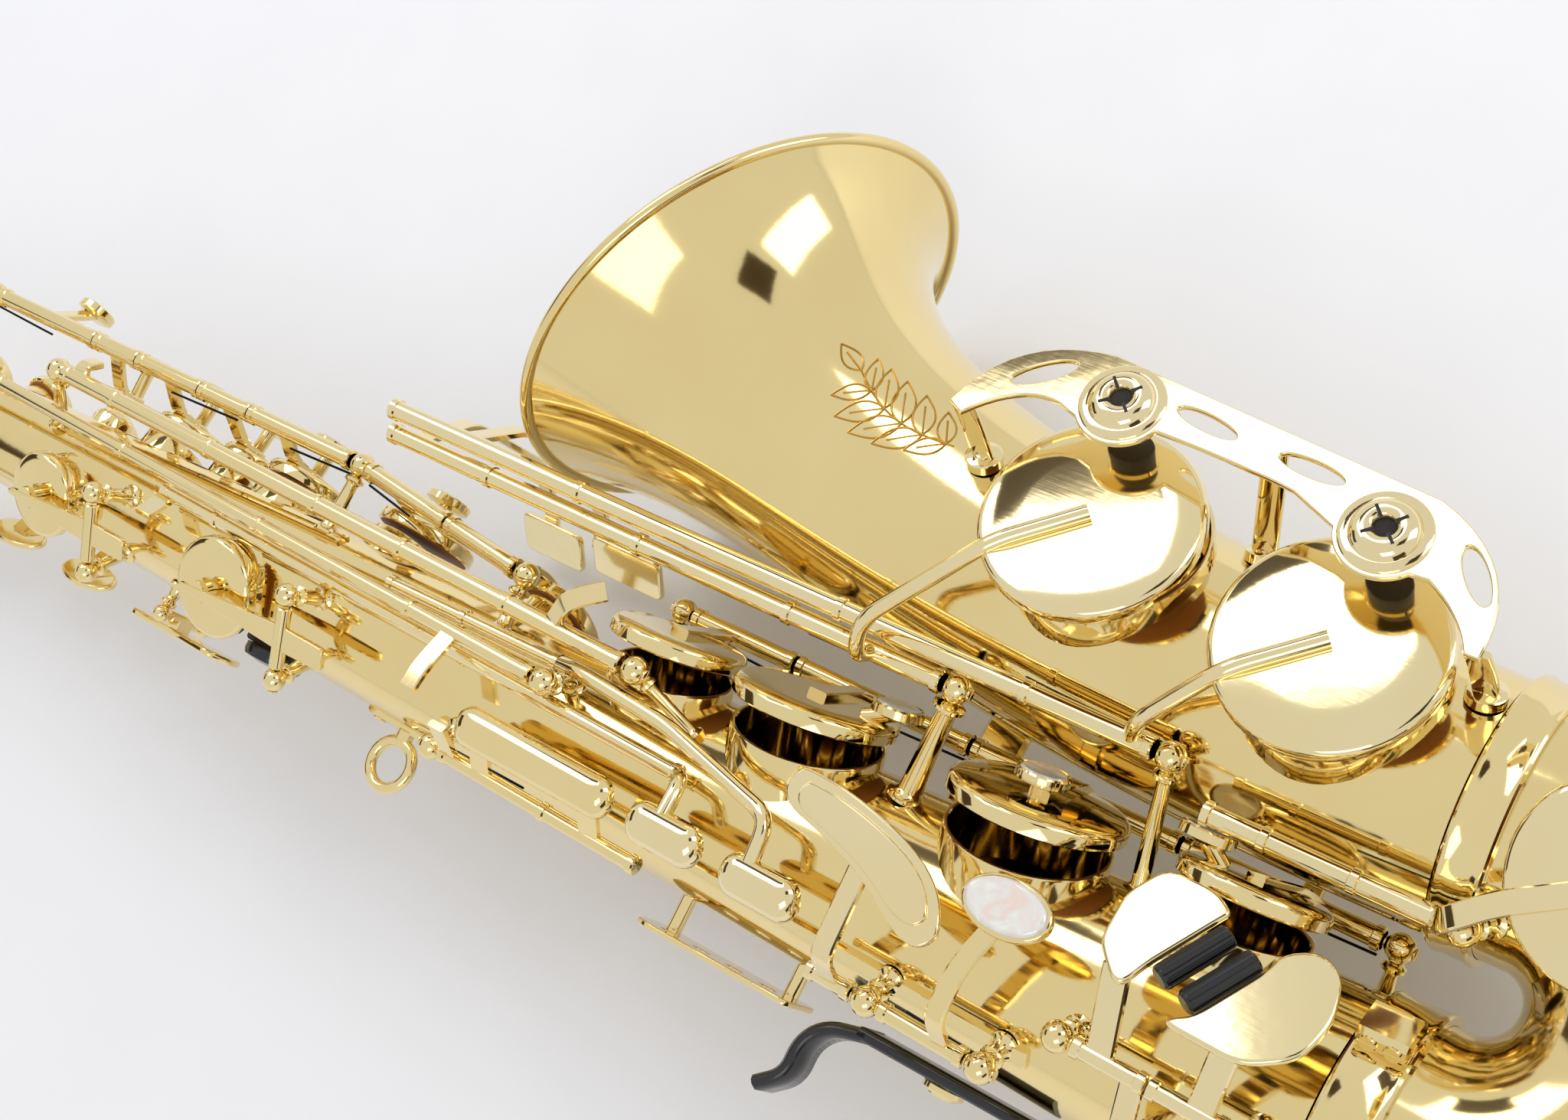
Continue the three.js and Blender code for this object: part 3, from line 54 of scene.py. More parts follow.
BODY_R0 = 12.6
BODY_TAPER = 0.0318
BOW_RADIUS = 35.8
BOW_LEG = 16
RIM_R = 61.5
RIM_CENTRE = (283, 112)
RIM_WIRE = 1.5
HOLE_RISE = 3
HOLE_WALL = 1.2
CUP_LIP = 1.6
CUP_HEIGHT = 4.4
ROD_R = 2.5
THIN_R = 2
BALL_R = 3.5
POST_R = 2.1
RIB_THICK = 1.4
ARM_W = 5
ARM_T = 2
PEARL_R = 6.4
GUARD_T = 1.6
ROLLER_R = 2.7
ROLLER_LENGTH = 17
NECK_BORE_R = 11.4
MOUTHPIECE_R = 12.6
MOUTHPIECE_LENGTH = 88
REST_ROLL = math.radians(4.45)

BODY_END_R = BODY_R0 + BODY_TAPER * BODY_LENGTH
BOW_START = BODY_LENGTH + GAP
BOW_CENTRE_X = BOW_START + BOW_LEG
BELL_R0 = BODY_END_R + 0.3
BELL_Y = 2 * BOW_RADIUS


def V(x, y, z):
    return Vector((x, y, z))


X = V(1, 0, 0)
Z = V(0, 0, 1)


# ---------- places on the body and bell ----------
def body_radius(x):
    return BODY_R0 + BODY_TAPER * x


def facing(deg):
    return V(0, math.cos(math.radians(deg)), math.sin(math.radians(deg)))


def on_body(x, rise, deg):
    return facing(deg) * (body_radius(x) + rise) + X * x


class Path:
    """A curve kept as many short steps, read by its share of the whole length."""

    def __init__(self, points):
        self.points = points
        self.marks = [0]
        for a, b in zip(points, points[1:]):
            self.marks.append(self.marks[-1] + (b - a).length)
        self.length = self.marks[-1]

    def at(self, share):
        goal = min(max(share, 0), 1) * self.length
        low = 0
        while low < len(self.points) - 2 and self.marks[low + 1] < goal:
            low += 1
        a, b = self.points[low], self.points[low + 1]
        return a.lerp(b, (goal - self.marks[low]) / (self.marks[low + 1] - self.marks[low]))

    def heading(self, share):
        return (self.at(share + 0.004) - self.at(share - 0.004)).normalized()


def bezier(p, q, r, s, steps=160):
    share = [i / steps for i in range(steps + 1)]
    return [
        p * (1 - t) ** 3 + q * 3 * t * (1 - t) ** 2 + r * 3 * t * t * (1 - t) + s * t**3
        for t in share
    ]


def through(points, steps=16):
    """A smooth curve through points (centripetal)."""
    ends = [points[0] * 2 - points[1], *points, points[-1] * 2 - points[-2]]
    made = []
    for p0, p1, p2, p3 in zip(ends, ends[1:], ends[2:], ends[3:]):
        d1 = math.sqrt((p1 - p0).length)
        d2 = math.sqrt((p2 - p1).length)
        d3 = math.sqrt((p3 - p2).length)
        m1 = (p1 - p0) / d1 - (p2 - p0) / (d1 + d2) + (p2 - p1) / d2
        m2 = (p2 - p1) / d2 - (p3 - p1) / (d2 + d3) + (p3 - p2) / d3
        made += bezier(p1, p1 + m1 * d2 / 3, p2 - m2 * d2 / 3, p2, steps)[:-1]
    return made + [points[-1]]


bell_axis = Path(
    bezier(V(BOW_START, BELL_Y, 0), V(BOW_START - 73, BELL_Y, 0), V(342, 78, 0), V(*RIM_CENTRE, 0))
)
BELL_GROWTH = 6.3
FLARE = RIM_R - BELL_R0 - BELL_GROWTH


def bell_radius(share):
    return BELL_R0 + BELL_GROWTH * share + FLARE * share**9


def on_bell(x, rise, deg):
    low, high = 0, 1
    for _ in range(24):
        share = (low + high) / 2
        low, high = (share, high) if bell_axis.at(share).x > x else (low, share)
    return facing(deg) * (bell_radius(low) + rise) + bell_axis.at(low)


# ---------- shells: each is (vertices, faces) ----------
def turns(sides):
    return [2 * math.pi * i / sides for i in range(sides)]


def across(direction, hint=Z):
    side = hint.cross(direction)
    return side.normalized() if side.length > 1e-3 else X.cross(direction).normalized()


def band(low, high):
    """Faces between two rings of vertex numbers; a ring of one is a pole."""
    if len(low) == 1 and len(high) == 1:
        return []
    if len(low) == 1:
        return [(low[0], high[i], high[(i + 1) % len(high)]) for i in range(len(high))]
    if len(high) == 1:
        return [(low[i], low[(i + 1) % len(low)], high[0]) for i in range(len(low))]
    n = len(low)
    return [(low[i], low[(i + 1) % n], high[(i + 1) % n], high[i]) for i in range(n)]


def turned(profile, base, direction, sides=32):
    """Turned on the lathe: (radius, height) points along a direction, from axis to axis or closed."""
    direction = direction.normalized()
    side = across(direction)
    other = direction.cross(side)
    closed = profile[0] == profile[-1]
    verts, faces, rings = [], [], []
    for r, h in profile[:-1] if closed else profile:
        start = len(verts)
        if r < 1e-6:
            verts.append(base + direction * h)
        else:
            verts += [base + direction * h + side * r * math.cos(a) + other * r * math.sin(a)
                for a in turns(sides)]
        rings.append(list(range(start, len(verts))))
    for low, high in zip(rings, rings[1:] + (rings[:1] if closed else [])):
        faces += band(low, high)
    return verts, faces


def rod(a, b, radius, sides=20, edge=0.3):
    length = (b - a).length
    edge = min(edge, radius / 2, length / 3)
    profile = [(0, 0), (radius - edge, 0), (radius, edge), (radius, length - edge),
        (radius - edge, length), (0, length)]
    return turned(profile, a, b - a, sides)


def ball(centre, radius, direction=Z, sides=20, rows=12):
    profile = [(radius * math.sin(math.pi * i / rows), -radius * math.cos(math.pi * i / rows))
        for i in range(rows + 1)]
    profile[0] = (0, -radius)
    profile[-1] = (0, radius)
    return turned(profile, centre, direction, sides)


def rounded(points, radius, steps=5):
    """The same line with its corners eased."""
    made = [points[0]]
    for before, corner, after in zip(points, points[1:], points[2:]):
        back, ahead = before - corner, after - corner
        start = corner + back.normalized() * min(radius, back.length * 0.48)
        end = corner + ahead.normalized() * min(radius, ahead.length * 0.48)
        made += [start * (1 - t) ** 2 + corner * 2 * t * (1 - t) + end * t * t for t in [i / steps
            for i in range(steps + 1)]]
    return made + [points[-1]]


def skin(rings, closed=False):
    verts = [p for ring in rings for p in ring]
    n = len(rings[0])
    index = [list(range(i * n, i * n + n)) for i in range(len(rings))]
    faces = []
    for low, high in zip(index, index[1:] + (index[:1] if closed else [])):
        faces += band(low, high)
    if not closed:
        faces += [tuple(index[0][::-1]), tuple(index[-1])]
    return verts, faces


def sweep(points, section, up=Z, scale_at=lambda share: 1):
    side = across((points[1] - points[0]).normalized(), up)
    rings = []
    for i, p in enumerate(points):
        ahead = points[min(i + 1, len(points) - 1)] - points[min(i, len(points) - 2)]
        behind = points[max(i, 1)] - points[max(i - 1, 0)]
        direction = (ahead.normalized() + behind.normalized()).normalized()
        side = (side - direction * side.dot(direction)).normalized()
        top = direction.cross(side)
        k = scale_at(i / (len(points) - 1))
        rings.append([p + side * u * k + top * v * k for u, v in section])
    return skin(rings)


def bent_rod(points, radius, bend=5, sides=14):
    return sweep(rounded(points, bend), [(radius * math.cos(a),
        radius * math.sin(a)) for a in turns(sides)])


def bent_bar(points, width=ARM_T, thick=ARM_W, up=X, bend=4, edge=0.4):
    w, t = width / 2, thick / 2
    corner = [(w, t - edge), (w - edge, t)]
    section = corner + [(-u, v) for u, v in corner[::-1]] + [(-u, -v) for u, v in corner] + [(u, -v) for u,
        v in corner[::-1]]
    return sweep(rounded(points, bend) if len(points) > 2 else points, section, up)


def plate(outlines, thick, origin, u, v, edge=0.35):
    """A flat plate with eased edges: the first outline is its edge and the others are windows in it."""
    curve = bpy.data.curves.new("outline", "CURVE")
    curve.dimensions = "2D"
    curve.fill_mode = "BOTH"
    curve.extrude = thick / 2 - edge
    curve.bevel_depth = edge
    curve.bevel_resolution = 2
    curve.offset = -edge
    for points in outlines:
        spline = curve.splines.new("POLY")
        spline.points.add(len(points) - 1)
        for place, p in zip(spline.points, points):
            place.co = (p[0], p[1], 0, 1)
        spline.use_cyclic_u = True
    holder = bpy.data.objects.new("outline", curve)
    mesh = bpy.data.meshes.new_from_object(holder)
    normal = u.cross(v).normalized()
    verts = [origin + u * p.co.x + v * p.co.y + normal * (p.co.z + thick / 2) for p in mesh.vertices]
    faces = [tuple(f.vertices) for f in mesh.polygons]
    bpy.data.objects.remove(holder)
    bpy.data.curves.remove(curve)
    bpy.data.meshes.remove(mesh)
    return verts, faces


def eased(points, radius=3, steps=4):
    """A closed outline with its corners eased."""
    flat = [Vector(p) for p in points]
    middle = (flat[0] + flat[-1]) / 2
    return [tuple(p) for p in rounded([middle, *flat, middle], radius, steps)[:-1]]


def oval(half_length, half_width, centre=(0, 0), turn=0, sides=36):
    c, s = math.cos(turn), math.sin(turn)
    spots = [(half_length * math.cos(a), half_width * math.sin(a)) for a in turns(sides)]
    return [(centre[0] + p * c - q * s, centre[1] + p * s + q * c) for p, q in spots]


def hollow(path, radius_at, rings, sides=96):
    """A sheet-metal tube along a path, open at both ends."""
    outer, inner = [], []
    for i in range(rings + 1):
        share = i / rings
        heading = path.heading(share)
        side = across(heading)
        for wall, made in ((0, outer), (WALL, inner)):
            r = radius_at(share) - wall
            made.append([path.at(share) + side * r * math.cos(a) + Z * r * math.sin(a)
                for a in turns(sides)])
    return skin(outer + inner[::-1], closed=True)


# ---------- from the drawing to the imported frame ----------
def placement():
    """The drawing's own turn and place, worked out from one hinge that both share."""
    roll = Matrix.Rotation(REST_ROLL, 4, "X")
    pivot = next(j for j in frame["joints"] if j["name"] == "key_c_vent_pivot")
    offset = Vector(pivot["pos_m"]) * 1000 - roll @ V(86.5, 36.3, 10)
    return Matrix.Scale(0.001, 4) @ Matrix.Translation(offset) @ roll


PLACE = placement()


# ---------- materials ----------
def colour(hex_code):
    """sRGB hex to linear RGBA."""
    parts = [int(hex_code[i : i + 2], 16) / 255 for i in (1, 3, 5)]
    return (*[c / 12.92 if c <= 0.04045 else ((c + 0.055) / 1.055) ** 2.4 for c in parts], 1)


def node(tree, kind, settings=(), **links):
    """Adds a node, sets its properties and inputs, and links the inputs given as sockets."""
    made = tree.nodes.new(kind)
    for key, value in dict(settings).items():
        if hasattr(made, key):
            setattr(made, key, value)
        else:
            made.inputs[key].default_value = value
    for key, socket in links.items():
        tree.links.new(socket, made.inputs[key])
    return made


def finish(name, **values):
    """A material with its shader's even values set, its tree, and its object coordinates in metres."""
    material = bpy.data.materials.new(name)
    material.use_nodes = True
    tree = material.node_tree
    shader = tree.nodes["Principled BSDF"]
    for key, value in values.items():
        shader.inputs[key.replace("_", " ")].default_value = value
    place = tree.nodes.new("ShaderNodeTexCoord").outputs["Object"]
    return material, tree, shader, place


def per_mm(size):
    """Noise scale for a feature of this size in millimetres, in a frame of metres."""
    return 1000 / size


def lacquered_brass(name, light, deep, smooth, hazy, coat=0.25):
    """Polished brass under clear lacquer: pale in the light and amber in the folds, with faint haze,
    a lacquer skin that is not quite flat, and hairlines from wiping."""
    material, tree, shader, place = finish(name, Metallic=1.0, Coat_Weight=coat, Coat_Roughness=0.04)
    cloud = node(tree, "ShaderNodeTexNoise", {"Scale": per_mm(28), "Detail": 4.0}, Vector=place)
    tone = node(tree, "ShaderNodeMix", {"data_type": "RGBA"}, Factor=cloud.outputs["Fac"])
    tone.inputs[6].default_value = colour(light)
    tone.inputs[7].default_value = colour(deep)
    tree.links.new(tone.outputs[2], shader.inputs["Base Color"])
    stretch = node(tree, "ShaderNodeMapping", {"Scale": (0.06, 1.0, 1.0)}, Vector=place)
    hair = node(tree, "ShaderNodeTexNoise", {"Scale": per_mm(0.6), "Detail": 2.0},
        Vector=stretch.outputs["Vector"])
    haze = node(tree, "ShaderNodeMapRange", {"To Min": smooth, "To Max": hazy}, Value=cloud.outputs["Fac"])
    tree.links.new(haze.outputs["Result"], shader.inputs["Roughness"])
    skin_noise = node(tree, "ShaderNodeTexNoise", {"Scale": per_mm(7), "Detail": 2.0}, Vector=place)
    flow = node(tree, "ShaderNodeBump", {"Strength": 0.05, "Distance": 0.0004},
        Height=skin_noise.outputs["Fac"])
    wiped = node(
        tree, "ShaderNodeBump", {"Strength": 0.05, "Distance": 0.00005},
        Height=hair.outputs["Fac"], Normal=flow.outputs["Normal"],
    )
    tree.links.new(wiped.outputs["Normal"], shader.inputs["Normal"])
    return material


def grained(name, light, deep, size, rough, metallic=0.0, relief=0.1, stretch=(1, 1, 1), **values):
    """A matt or polished stuff with a grain of this size in millimetres."""
    material, tree, shader, place = finish(name, Metallic=metallic, **values)
    run = node(tree, "ShaderNodeMapping", {"Scale": stretch}, Vector=place)
    grain = node(tree, "ShaderNodeTexNoise", {"Scale": per_mm(size), "Detail": 5.0},
        Vector=run.outputs["Vector"])
    tone = node(tree, "ShaderNodeMix", {"data_type": "RGBA"}, Factor=grain.outputs["Fac"])
    tone.inputs[6].default_value = colour(light)
    tone.inputs[7].default_value = colour(deep)
    tree.links.new(tone.outputs[2], shader.inputs["Base Color"])
    sheen = node(tree, "ShaderNodeMapRange", {"To Min": rough * 0.8, "To Max": rough * 1.2},
        Value=grain.outputs["Fac"])
    tree.links.new(sheen.outputs["Result"], shader.inputs["Roughness"])
    bump = node(tree, "ShaderNodeBump", {"Strength": relief, "Distance": 0.0002},
        Height=grain.outputs["Fac"])
    tree.links.new(bump.outputs["Normal"], shader.inputs["Normal"])
    return material


def mother_of_pearl():
    """Cut shell: milky, with pink and green clouds in thin layers, polished."""
    material, tree, shader, place = finish(
        "polished mother-of-pearl", Roughness=0.14, Coat_Weight=0.7, Coat_Roughness=0.05, Metallic=0.15
    )
    layers = node(
        tree, "ShaderNodeTexNoise", {"Scale": per_mm(6), "Detail": 3.0, "Distortion": 1.6}, Vector=place
    )
    ramp = node(tree, "ShaderNodeValToRGB", Fac=layers.outputs["Fac"])
    tones = ramp.color_ramp
    tones.elements[0].color = colour("#E9D3C6")
    tones.elements[0].position = 0.3
    tones.elements[1].color = colour("#F6F1EA")
    tones.elements[1].position = 0.75
    tones.elements.new(0.5).color = colour("#E3E3DC")
    tree.links.new(ramp.outputs["Color"], shader.inputs["Base Color"])
    return material


# Spun and drawn brass, buffed and then lacquered: mirror-like, pale in the light, amber where it folds.
BODY_LACQUER = lacquered_brass("gold-lacquered brass tube", "#F5E1A4", "#EFD590", 0.06, 0.12)
# Cast and filed keywork, tumbled smooth under the same lacquer.
KEY_LACQUER = lacquered_brass("gold-lacquered brass keywork", "#F6E3AA", "#F0D794", 0.05, 0.10)
# Pressed cups and touches, the flattest and brightest pieces: their paler colour is a painted highlight.
BRIGHTENED_CUP_LACQUER = lacquered_brass("gold-lacquered pressed key cup", "#F7E8BA", "#F2DCA0", 0.05, 0.10)
# Drawn tube keeps fine lines along its length, so its light is a little softer.
ROD_LACQUER = lacquered_brass("drawn brass hinge tube", "#F6E4AE", "#F0D898", 0.08, 0.15)
# Cut metal under lacquer: the tool leaves a rough floor, and the darker colour is painted shade in the cut
# grooves.
ENGRAVED_PAINTED_SHADE = grained("hand-cut engraving in brass", "#C79A45", "#A97F34", 1, 0.3, metallic=1.0, relief=0.05)
# Heat-blued needles: almost black with a cold sheen.
STEEL = grained("blued spring steel", "#20262F", "#11151C", 2, 0.28, metallic=1.0, relief=0.02)
# Moulded phenolic and ground ebonite: deep black with a soft wax gloss.
PHENOLIC = grained("black phenolic", "#121214", "#0B0B0D", 1.5, 0.24, relief=0.03, Coat_Weight=0.3)
EBONITE = grained("polished ebonite", "#101011", "#0B0B0C", 3, 0.16, relief=0.02, Coat_Weight=0.4)
# Soft goods: oiled leather, felt, cork and cane, all matt with their own grain.
LEATHER = grained("oiled kid-leather pad", "#B47A45", "#96602F", 0.8, 0.55, relief=0.3)
FELT = grained("dark wool felt", "#2A211B", "#1A1410", 0.4, 0.9, relief=0.6, Sheen_Weight=0.4)
CORK = grained("sheet cork", "#C69C6B", "#9A7044", 1.2, 0.85, relief=0.6)
CANE = grained("cut cane", "#E2CD93", "#CDB273", 0.7, 0.6, relief=0.25, stretch=(1, 0.05, 1))
# Cut and polished shell.
PEARL = mother_of_pearl()


# ---------- pieces ----------
def flat(parts):
    """Shells out of lists within lists."""
    if isinstance(parts, tuple) and isinstance(parts[0][0], Vector):
        return [parts]
    return [shell for part in parts for shell in flat(part)]


def piece(name, parts, material, body="instrument", stands_for=(), turn=None, sharp=34,
    holes=()):
    """One object from closed shells in the drawing's millimetres; turn is (point, axis, degrees)."""
    name = "look_" + name.replace(" ", "_").replace("-", "_")
    mesh = bpy.data.meshes.new(name)
    verts, faces = [], []
    for shell_verts, shell_faces in flat(parts):
        start = len(verts)
        verts += shell_verts
        faces += [tuple(start + i for i in face) for face in shell_faces]
    mesh.from_pydata(verts, [], faces)
    build = bmesh.new()
    build.from_mesh(mesh)
    bmesh.ops.recalc_face_normals(build, faces=build.faces)
    build.to_mesh(mesh)
    build.free()
    made = bpy.data.objects.new(name, mesh)
    bpy.context.scene.collection.objects.link(made)
    if holes:
        cut(made, holes)
    mesh = made.data
    if turn:
        point, axis, degrees = turn
        mesh.transform(Matrix.Translation(point) @ Matrix.Rotation(math.radians(degrees), 4,
            axis) @ Matrix.Translation(-point))
    mesh.transform(PLACE)
    mesh.shade_smooth()
    mesh.set_sharp_from_angle(angle=math.radians(sharp))
    mesh.materials.append(material)
    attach(made, body)
    if stands_for:
        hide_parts(*stands_for)
    return made


def cut(made, holes):
    """Takes round holes, given as (start, end, radius), out of an object."""
    cutter = bpy.data.objects.new("cutter", bpy.data.meshes.new("cutter"))
    verts, faces = [], []
    for start, end, radius in holes:
        shell_verts, shell_faces = rod(start, end, radius, 64, 0.01)
        faces += [tuple(len(verts) + i for i in face) for face in shell_faces]
        verts += shell_verts
    cutter.data.from_pydata(verts, [], faces)
    build = bmesh.new()
    build.from_mesh(cutter.data)
    bmesh.ops.recalc_face_normals(build, faces=build.faces)
    build.to_mesh(cutter.data)
    build.free()
    bpy.context.scene.collection.objects.link(cutter)
    boolean = made.modifiers.new("holes", "BOOLEAN")
    boolean.object = cutter
    boolean.solver = "EXACT"
    bpy.context.view_layer.update()
    seen = made.evaluated_get(bpy.context.evaluated_depsgraph_get())
    mesh = bpy.data.meshes.new_from_object(seen)
    made.modifiers.clear()
    made.data = mesh
    bpy.data.objects.remove(cutter)


# ---------- tone holes ----------
HOLES = {
    "side_e": (46, 78, 6.4),
    "palm_f": (26, -42, 5.6),
    "palm_e_flat": (54, -46, 6.2),
    "palm_d": (84, -50, 6.8),
    "c_vent": (95, -8, 4.8),
    "b": (119, -18, 8.4),
    "bis": (144, -18, 5.8),
    "a": (168, -18, 10),
    "g": (214, -18, 11.6),
    "side_c": (106, 119, 9.6),
    "side_b_flat": (183, 116, 11.2),
    "g_sharp": (262, -35, 11.2),
    "f_sharp": (317, 25, 14.5),
    "f": (359, 27, 17.5),
    "e": (420, 30, 18),
    "d": (470, 21, 14.4),
    "e_flat": (484, 142, 12),
}
BELL_HOLES = {"c_sharp": (466, -72, 16), "low_b": (412, 63, 22), "low_b_flat": (470, 66, 22)}
LOW_C_R = 18.5
CHIMNEY_DEPTH = 0.72


def low_c_centre():
    centre = V(BOW_CENTRE_X, BOW_RADIUS, 0)
    return centre + V(20, 30, 0).normalized() * BOW_RADIUS


def hole_top(name, rise=0):
    if name in BELL_HOLES:
        x, deg, _ = BELL_HOLES[name]
        return on_bell(x, HOLE_RISE + rise, deg)
    x, deg, _ = HOLES[name]
    return on_body(x, HOLE_RISE + rise, deg)


def hole_size(name):
    return (BELL_HOLES if name in BELL_HOLES else HOLES)[name][2]


def hole_normal(name):
    return facing((BELL_HOLES if name in BELL_HOLES else HOLES)[name][1])


def chimney(top, normal, radius):
    """Drawn tone hole: a wall with a rolled lip."""
    depth = HOLE_RISE + radius * CHIMNEY_DEPTH
    outer = radius + HOLE_WALL
    profile = [(radius, -depth), (outer, -depth), (outer, -0.5), (outer - 0.25, -0.1), (outer - 0.6, 0),
               (radius + 0.25, -0.1), (radius, -0.4), (radius, -depth)]
    return turned(profile, top, normal, 56)


def bore(top, normal, radius):
    return top - normal * (HOLE_RISE + radius * CHIMNEY_DEPTH + 3), top + normal * 2, radius + 0.3


# ---------- posts ----------
def screw_head(centre, axis, radius=1.5):
    """The end of a pivot screw: a low disc with a slot across it."""
    axis = axis.normalized()
    slot = across(axis)
    face = centre + axis * 0.5
    return turned([(0, 0), (radius, 0), (radius, 0.3), (radius - 0.2, 0.5), (0, 0.5)], centre, axis,
        20), bent_bar(
        [face - slot * radius * 0.9, face + slot * radius * 0.9], 0.4, 0.24, axis, edge=0.05
    )


def post(foot, top, radius=POST_R, ball_r=BALL_R):
    """Turned post: a flange, a waisted stem, a collar and a ball."""
    length = (top - foot).length
    neck = length - ball_r
    stem = [(0, 0), (radius * 1.7, 0), (radius * 1.7, 0.7), (radius * 1.25, 1.3), (radius, 2.2),
        (radius * 0.82, max(2.6, neck - 2.6)),
            (radius * 0.95, max(2.9, neck - 1.9)), (radius * 1.35, max(3.2, neck - 1.5)), (radius * 1.35,
                max(3.6, neck - 0.7)),
            (radius * 0.9, max(3.9, neck)), (0, max(4, neck + 0.4))]
    return [turned(stem, foot, top - foot, 24), ball(top, ball_r, top - foot, 24, 14)]


BALL_SEAT = BALL_R - 0.3  # a pivot screw starts just inside its ball
PAD_THICK = 0.8


def post_on(x, deg, top, radius=POST_R):
    return post(on_body(x, 0.2, deg), top, radius)


def along(line, x):
    a, b = line
    return a.lerp(b, (x - a.x) / (b.x - a.x))


LINES = {
    "upper": (V(37, 36.3, 10), V(199, 36.3, 10)),
    "g": (V(199, 36.3, 10), V(268, 28.5, 15)),
    "link": (V(92, 23.3, 23), V(320, 19, 31)),
    "side_e": (V(30, 13.5, 19), V(295, 7, 32)),
    "side_c": (V(150, 6.2, 21.5), V(342, 2.1, 27.7)),
    "side_b_flat": (V(236, 11.5, 22.5), V(296, 12.6, 24.4)),
    "back": (V(272, -19.8, 23.6), V(438, -23.2, 27.6)),
    "table_right": (V(453, -9.4, 36.2), V(499, -10, 37.6)),
    "lower": (V(300, 38.5, -9), V(500, 38.5, -9)),
    "low_b": (V(212, 47, 25), V(394, 47, 25)),
    "low_b_flat": (V(212, 52.4, 29), V(446.5, 52.4, 29)),
    "low_c": (V(453, 45, 26), V(514, 45, 26)),
    "palm": (V(10, -1.2, -20), V(108, -1.4, -23.4)),
    "table_left": (V(222, 7.4, -28.6), V(300, 8, -31.1)),
    "c_sharp": (V(306, 8, -31.4), V(486, 9.4, -37)),
}
END = BALL_R + GAP


def hinge_tube(line, x0, x1, radius, collars=()):
    """Hinge tube with a turned collar at each end and wherever another key's tube meets it."""
    a, b = along(line, x0), along(line, x1)
    axis = (b - a).normalized()
    collar = [(0, 0), (radius, 0), (radius + 0.4, 0.3), (radius + 0.4, 2), (radius, 2.3), (0, 2.3)]
    rings = [turned(collar, a, axis, 24), turned(collar, b, -axis, 24)]
    rings += [turned(collar, along(line, x), axis, 24) for x in collars]
    return [rod(a, b, radius, 24), rings]


# ---------- body, bow and bell ----------
def saddle(x, deg, half=12):
    """Cross axle of a side-key cup: its middle, its two ends and its own directions."""
    normal, tangent = facing(deg), facing(deg + 90)
    middle = on_body(x, 11, deg)
    return {"x": x, "deg": deg, "n": normal, "t": tangent, "middle": middle, "a": middle - tangent * half,
            "b": middle + tangent * half, "half": half}


SIDE_C = saddle(135, 119)
SIDE_B_FLAT = saddle(216, 117)
OCTAVE = V(158, -body_radius(158) - 7, 0)


def body_posts():
    made = []
    for x, deg, top, radius in [
        (33, 54, LINES["side_e"][0], POST_R),
        (299, 66, along(LINES["side_e"], 299), POST_R),
        (336, 60, LINES["link"][1], 1.7),
        (389, 32, LINES["low_b"][1], 2.9),
        (446, 20, LINES["low_b_flat"][1], POST_R),
        (453, 105, LINES["table_right"][0], POST_R),
        (496, 105, along(LINES["table_right"], 496), POST_R),
        (490, -75, along(LINES["c_sharp"], 490), POST_R),
        (10, -92, LINES["palm"][0], POST_R),
        (108, -92, LINES["palm"][1], POST_R),
    ]:
        made.append(post(on_body(x, -0.4, deg), top, radius))
        made.append(screw_head(top + X * BALL_SEAT, X))
    for s in (SIDE_C, SIDE_B_FLAT):
        lean = math.degrees(s["half"] / (body_radius(s["x"]) + 6))
        made.append(post(on_body(s["x"], -0.4, s["deg"] - lean), s["a"], POST_R, BALL_R - 0.4))
        made.append(post(on_body(s["x"], -0.4, s["deg"] + lean), s["b"], POST_R, BALL_R - 0.4))
        made.append(screw_head(s["b"] + s["t"] * (BALL_R - 0.7), s["t"]))
    for side in (-1, 1):
        made.append(post(on_body(OCTAVE.x, -0.4, 180 - side * 24), V(OCTAVE.x, OCTAVE.y, side * 9), 1.8,
            2.4))
    return made


def make_body():
    path = Path([V(BODY_LENGTH * i / 60, 0, 0) for i in range(61)])
    tube = hollow(path, lambda share: body_radius(share * BODY_LENGTH), 60, 128)
    holes = [bore(hole_top(name), hole_normal(name), hole_size(name)) for name in HOLES]
    piece("body tube", [tube], BODY_LACQUER, stands_for=["body_tube"], holes=holes)
    walls = [chimney(hole_top(name), hole_normal(name), hole_size(name)) for name in HOLES]
    piece("body tone holes", walls, BODY_LACQUER)
    piece("body posts", body_posts(), KEY_LACQUER)


def bow_path():
    legs = [V(BOW_START + 4 * i, 0, 0) for i in range(4)]
    arc = [
        V(BOW_CENTRE_X + BOW_RADIUS * math.sin(a), BOW_RADIUS - BOW_RADIUS * math.cos(a), 0)
        for a in [math.pi * i / 60 for i in range(61)]
    ]
    back = [V(BOW_CENTRE_X - 4 * i, BELL_Y, 0) for i in range(1, 4)]
    return Path(legs + arc + back + [V(BOW_START + GAP, BELL_Y, 0)])


def make_bow():
    tube = hollow(bow_path(), lambda share: BODY_END_R + (BELL_R0 - BODY_END_R) * share, 64)
    centre = low_c_centre()
    top = V(centre.x, centre.y, BODY_END_R + HOLE_RISE)
    piece("bow", [tube], BODY_LACQUER, stands_for=["bow"], holes=[bore(top, Z, LOW_C_R)])
    foot = V(BOW_CENTRE_X - 2, BELL_Y, 0) + facing(140) * (BELL_R0 - 0.4)
    piece("bow tone hole and post", [chimney(top, Z, LOW_C_R), post(foot, LINES["low_c"][1])], KEY_LACQUER)


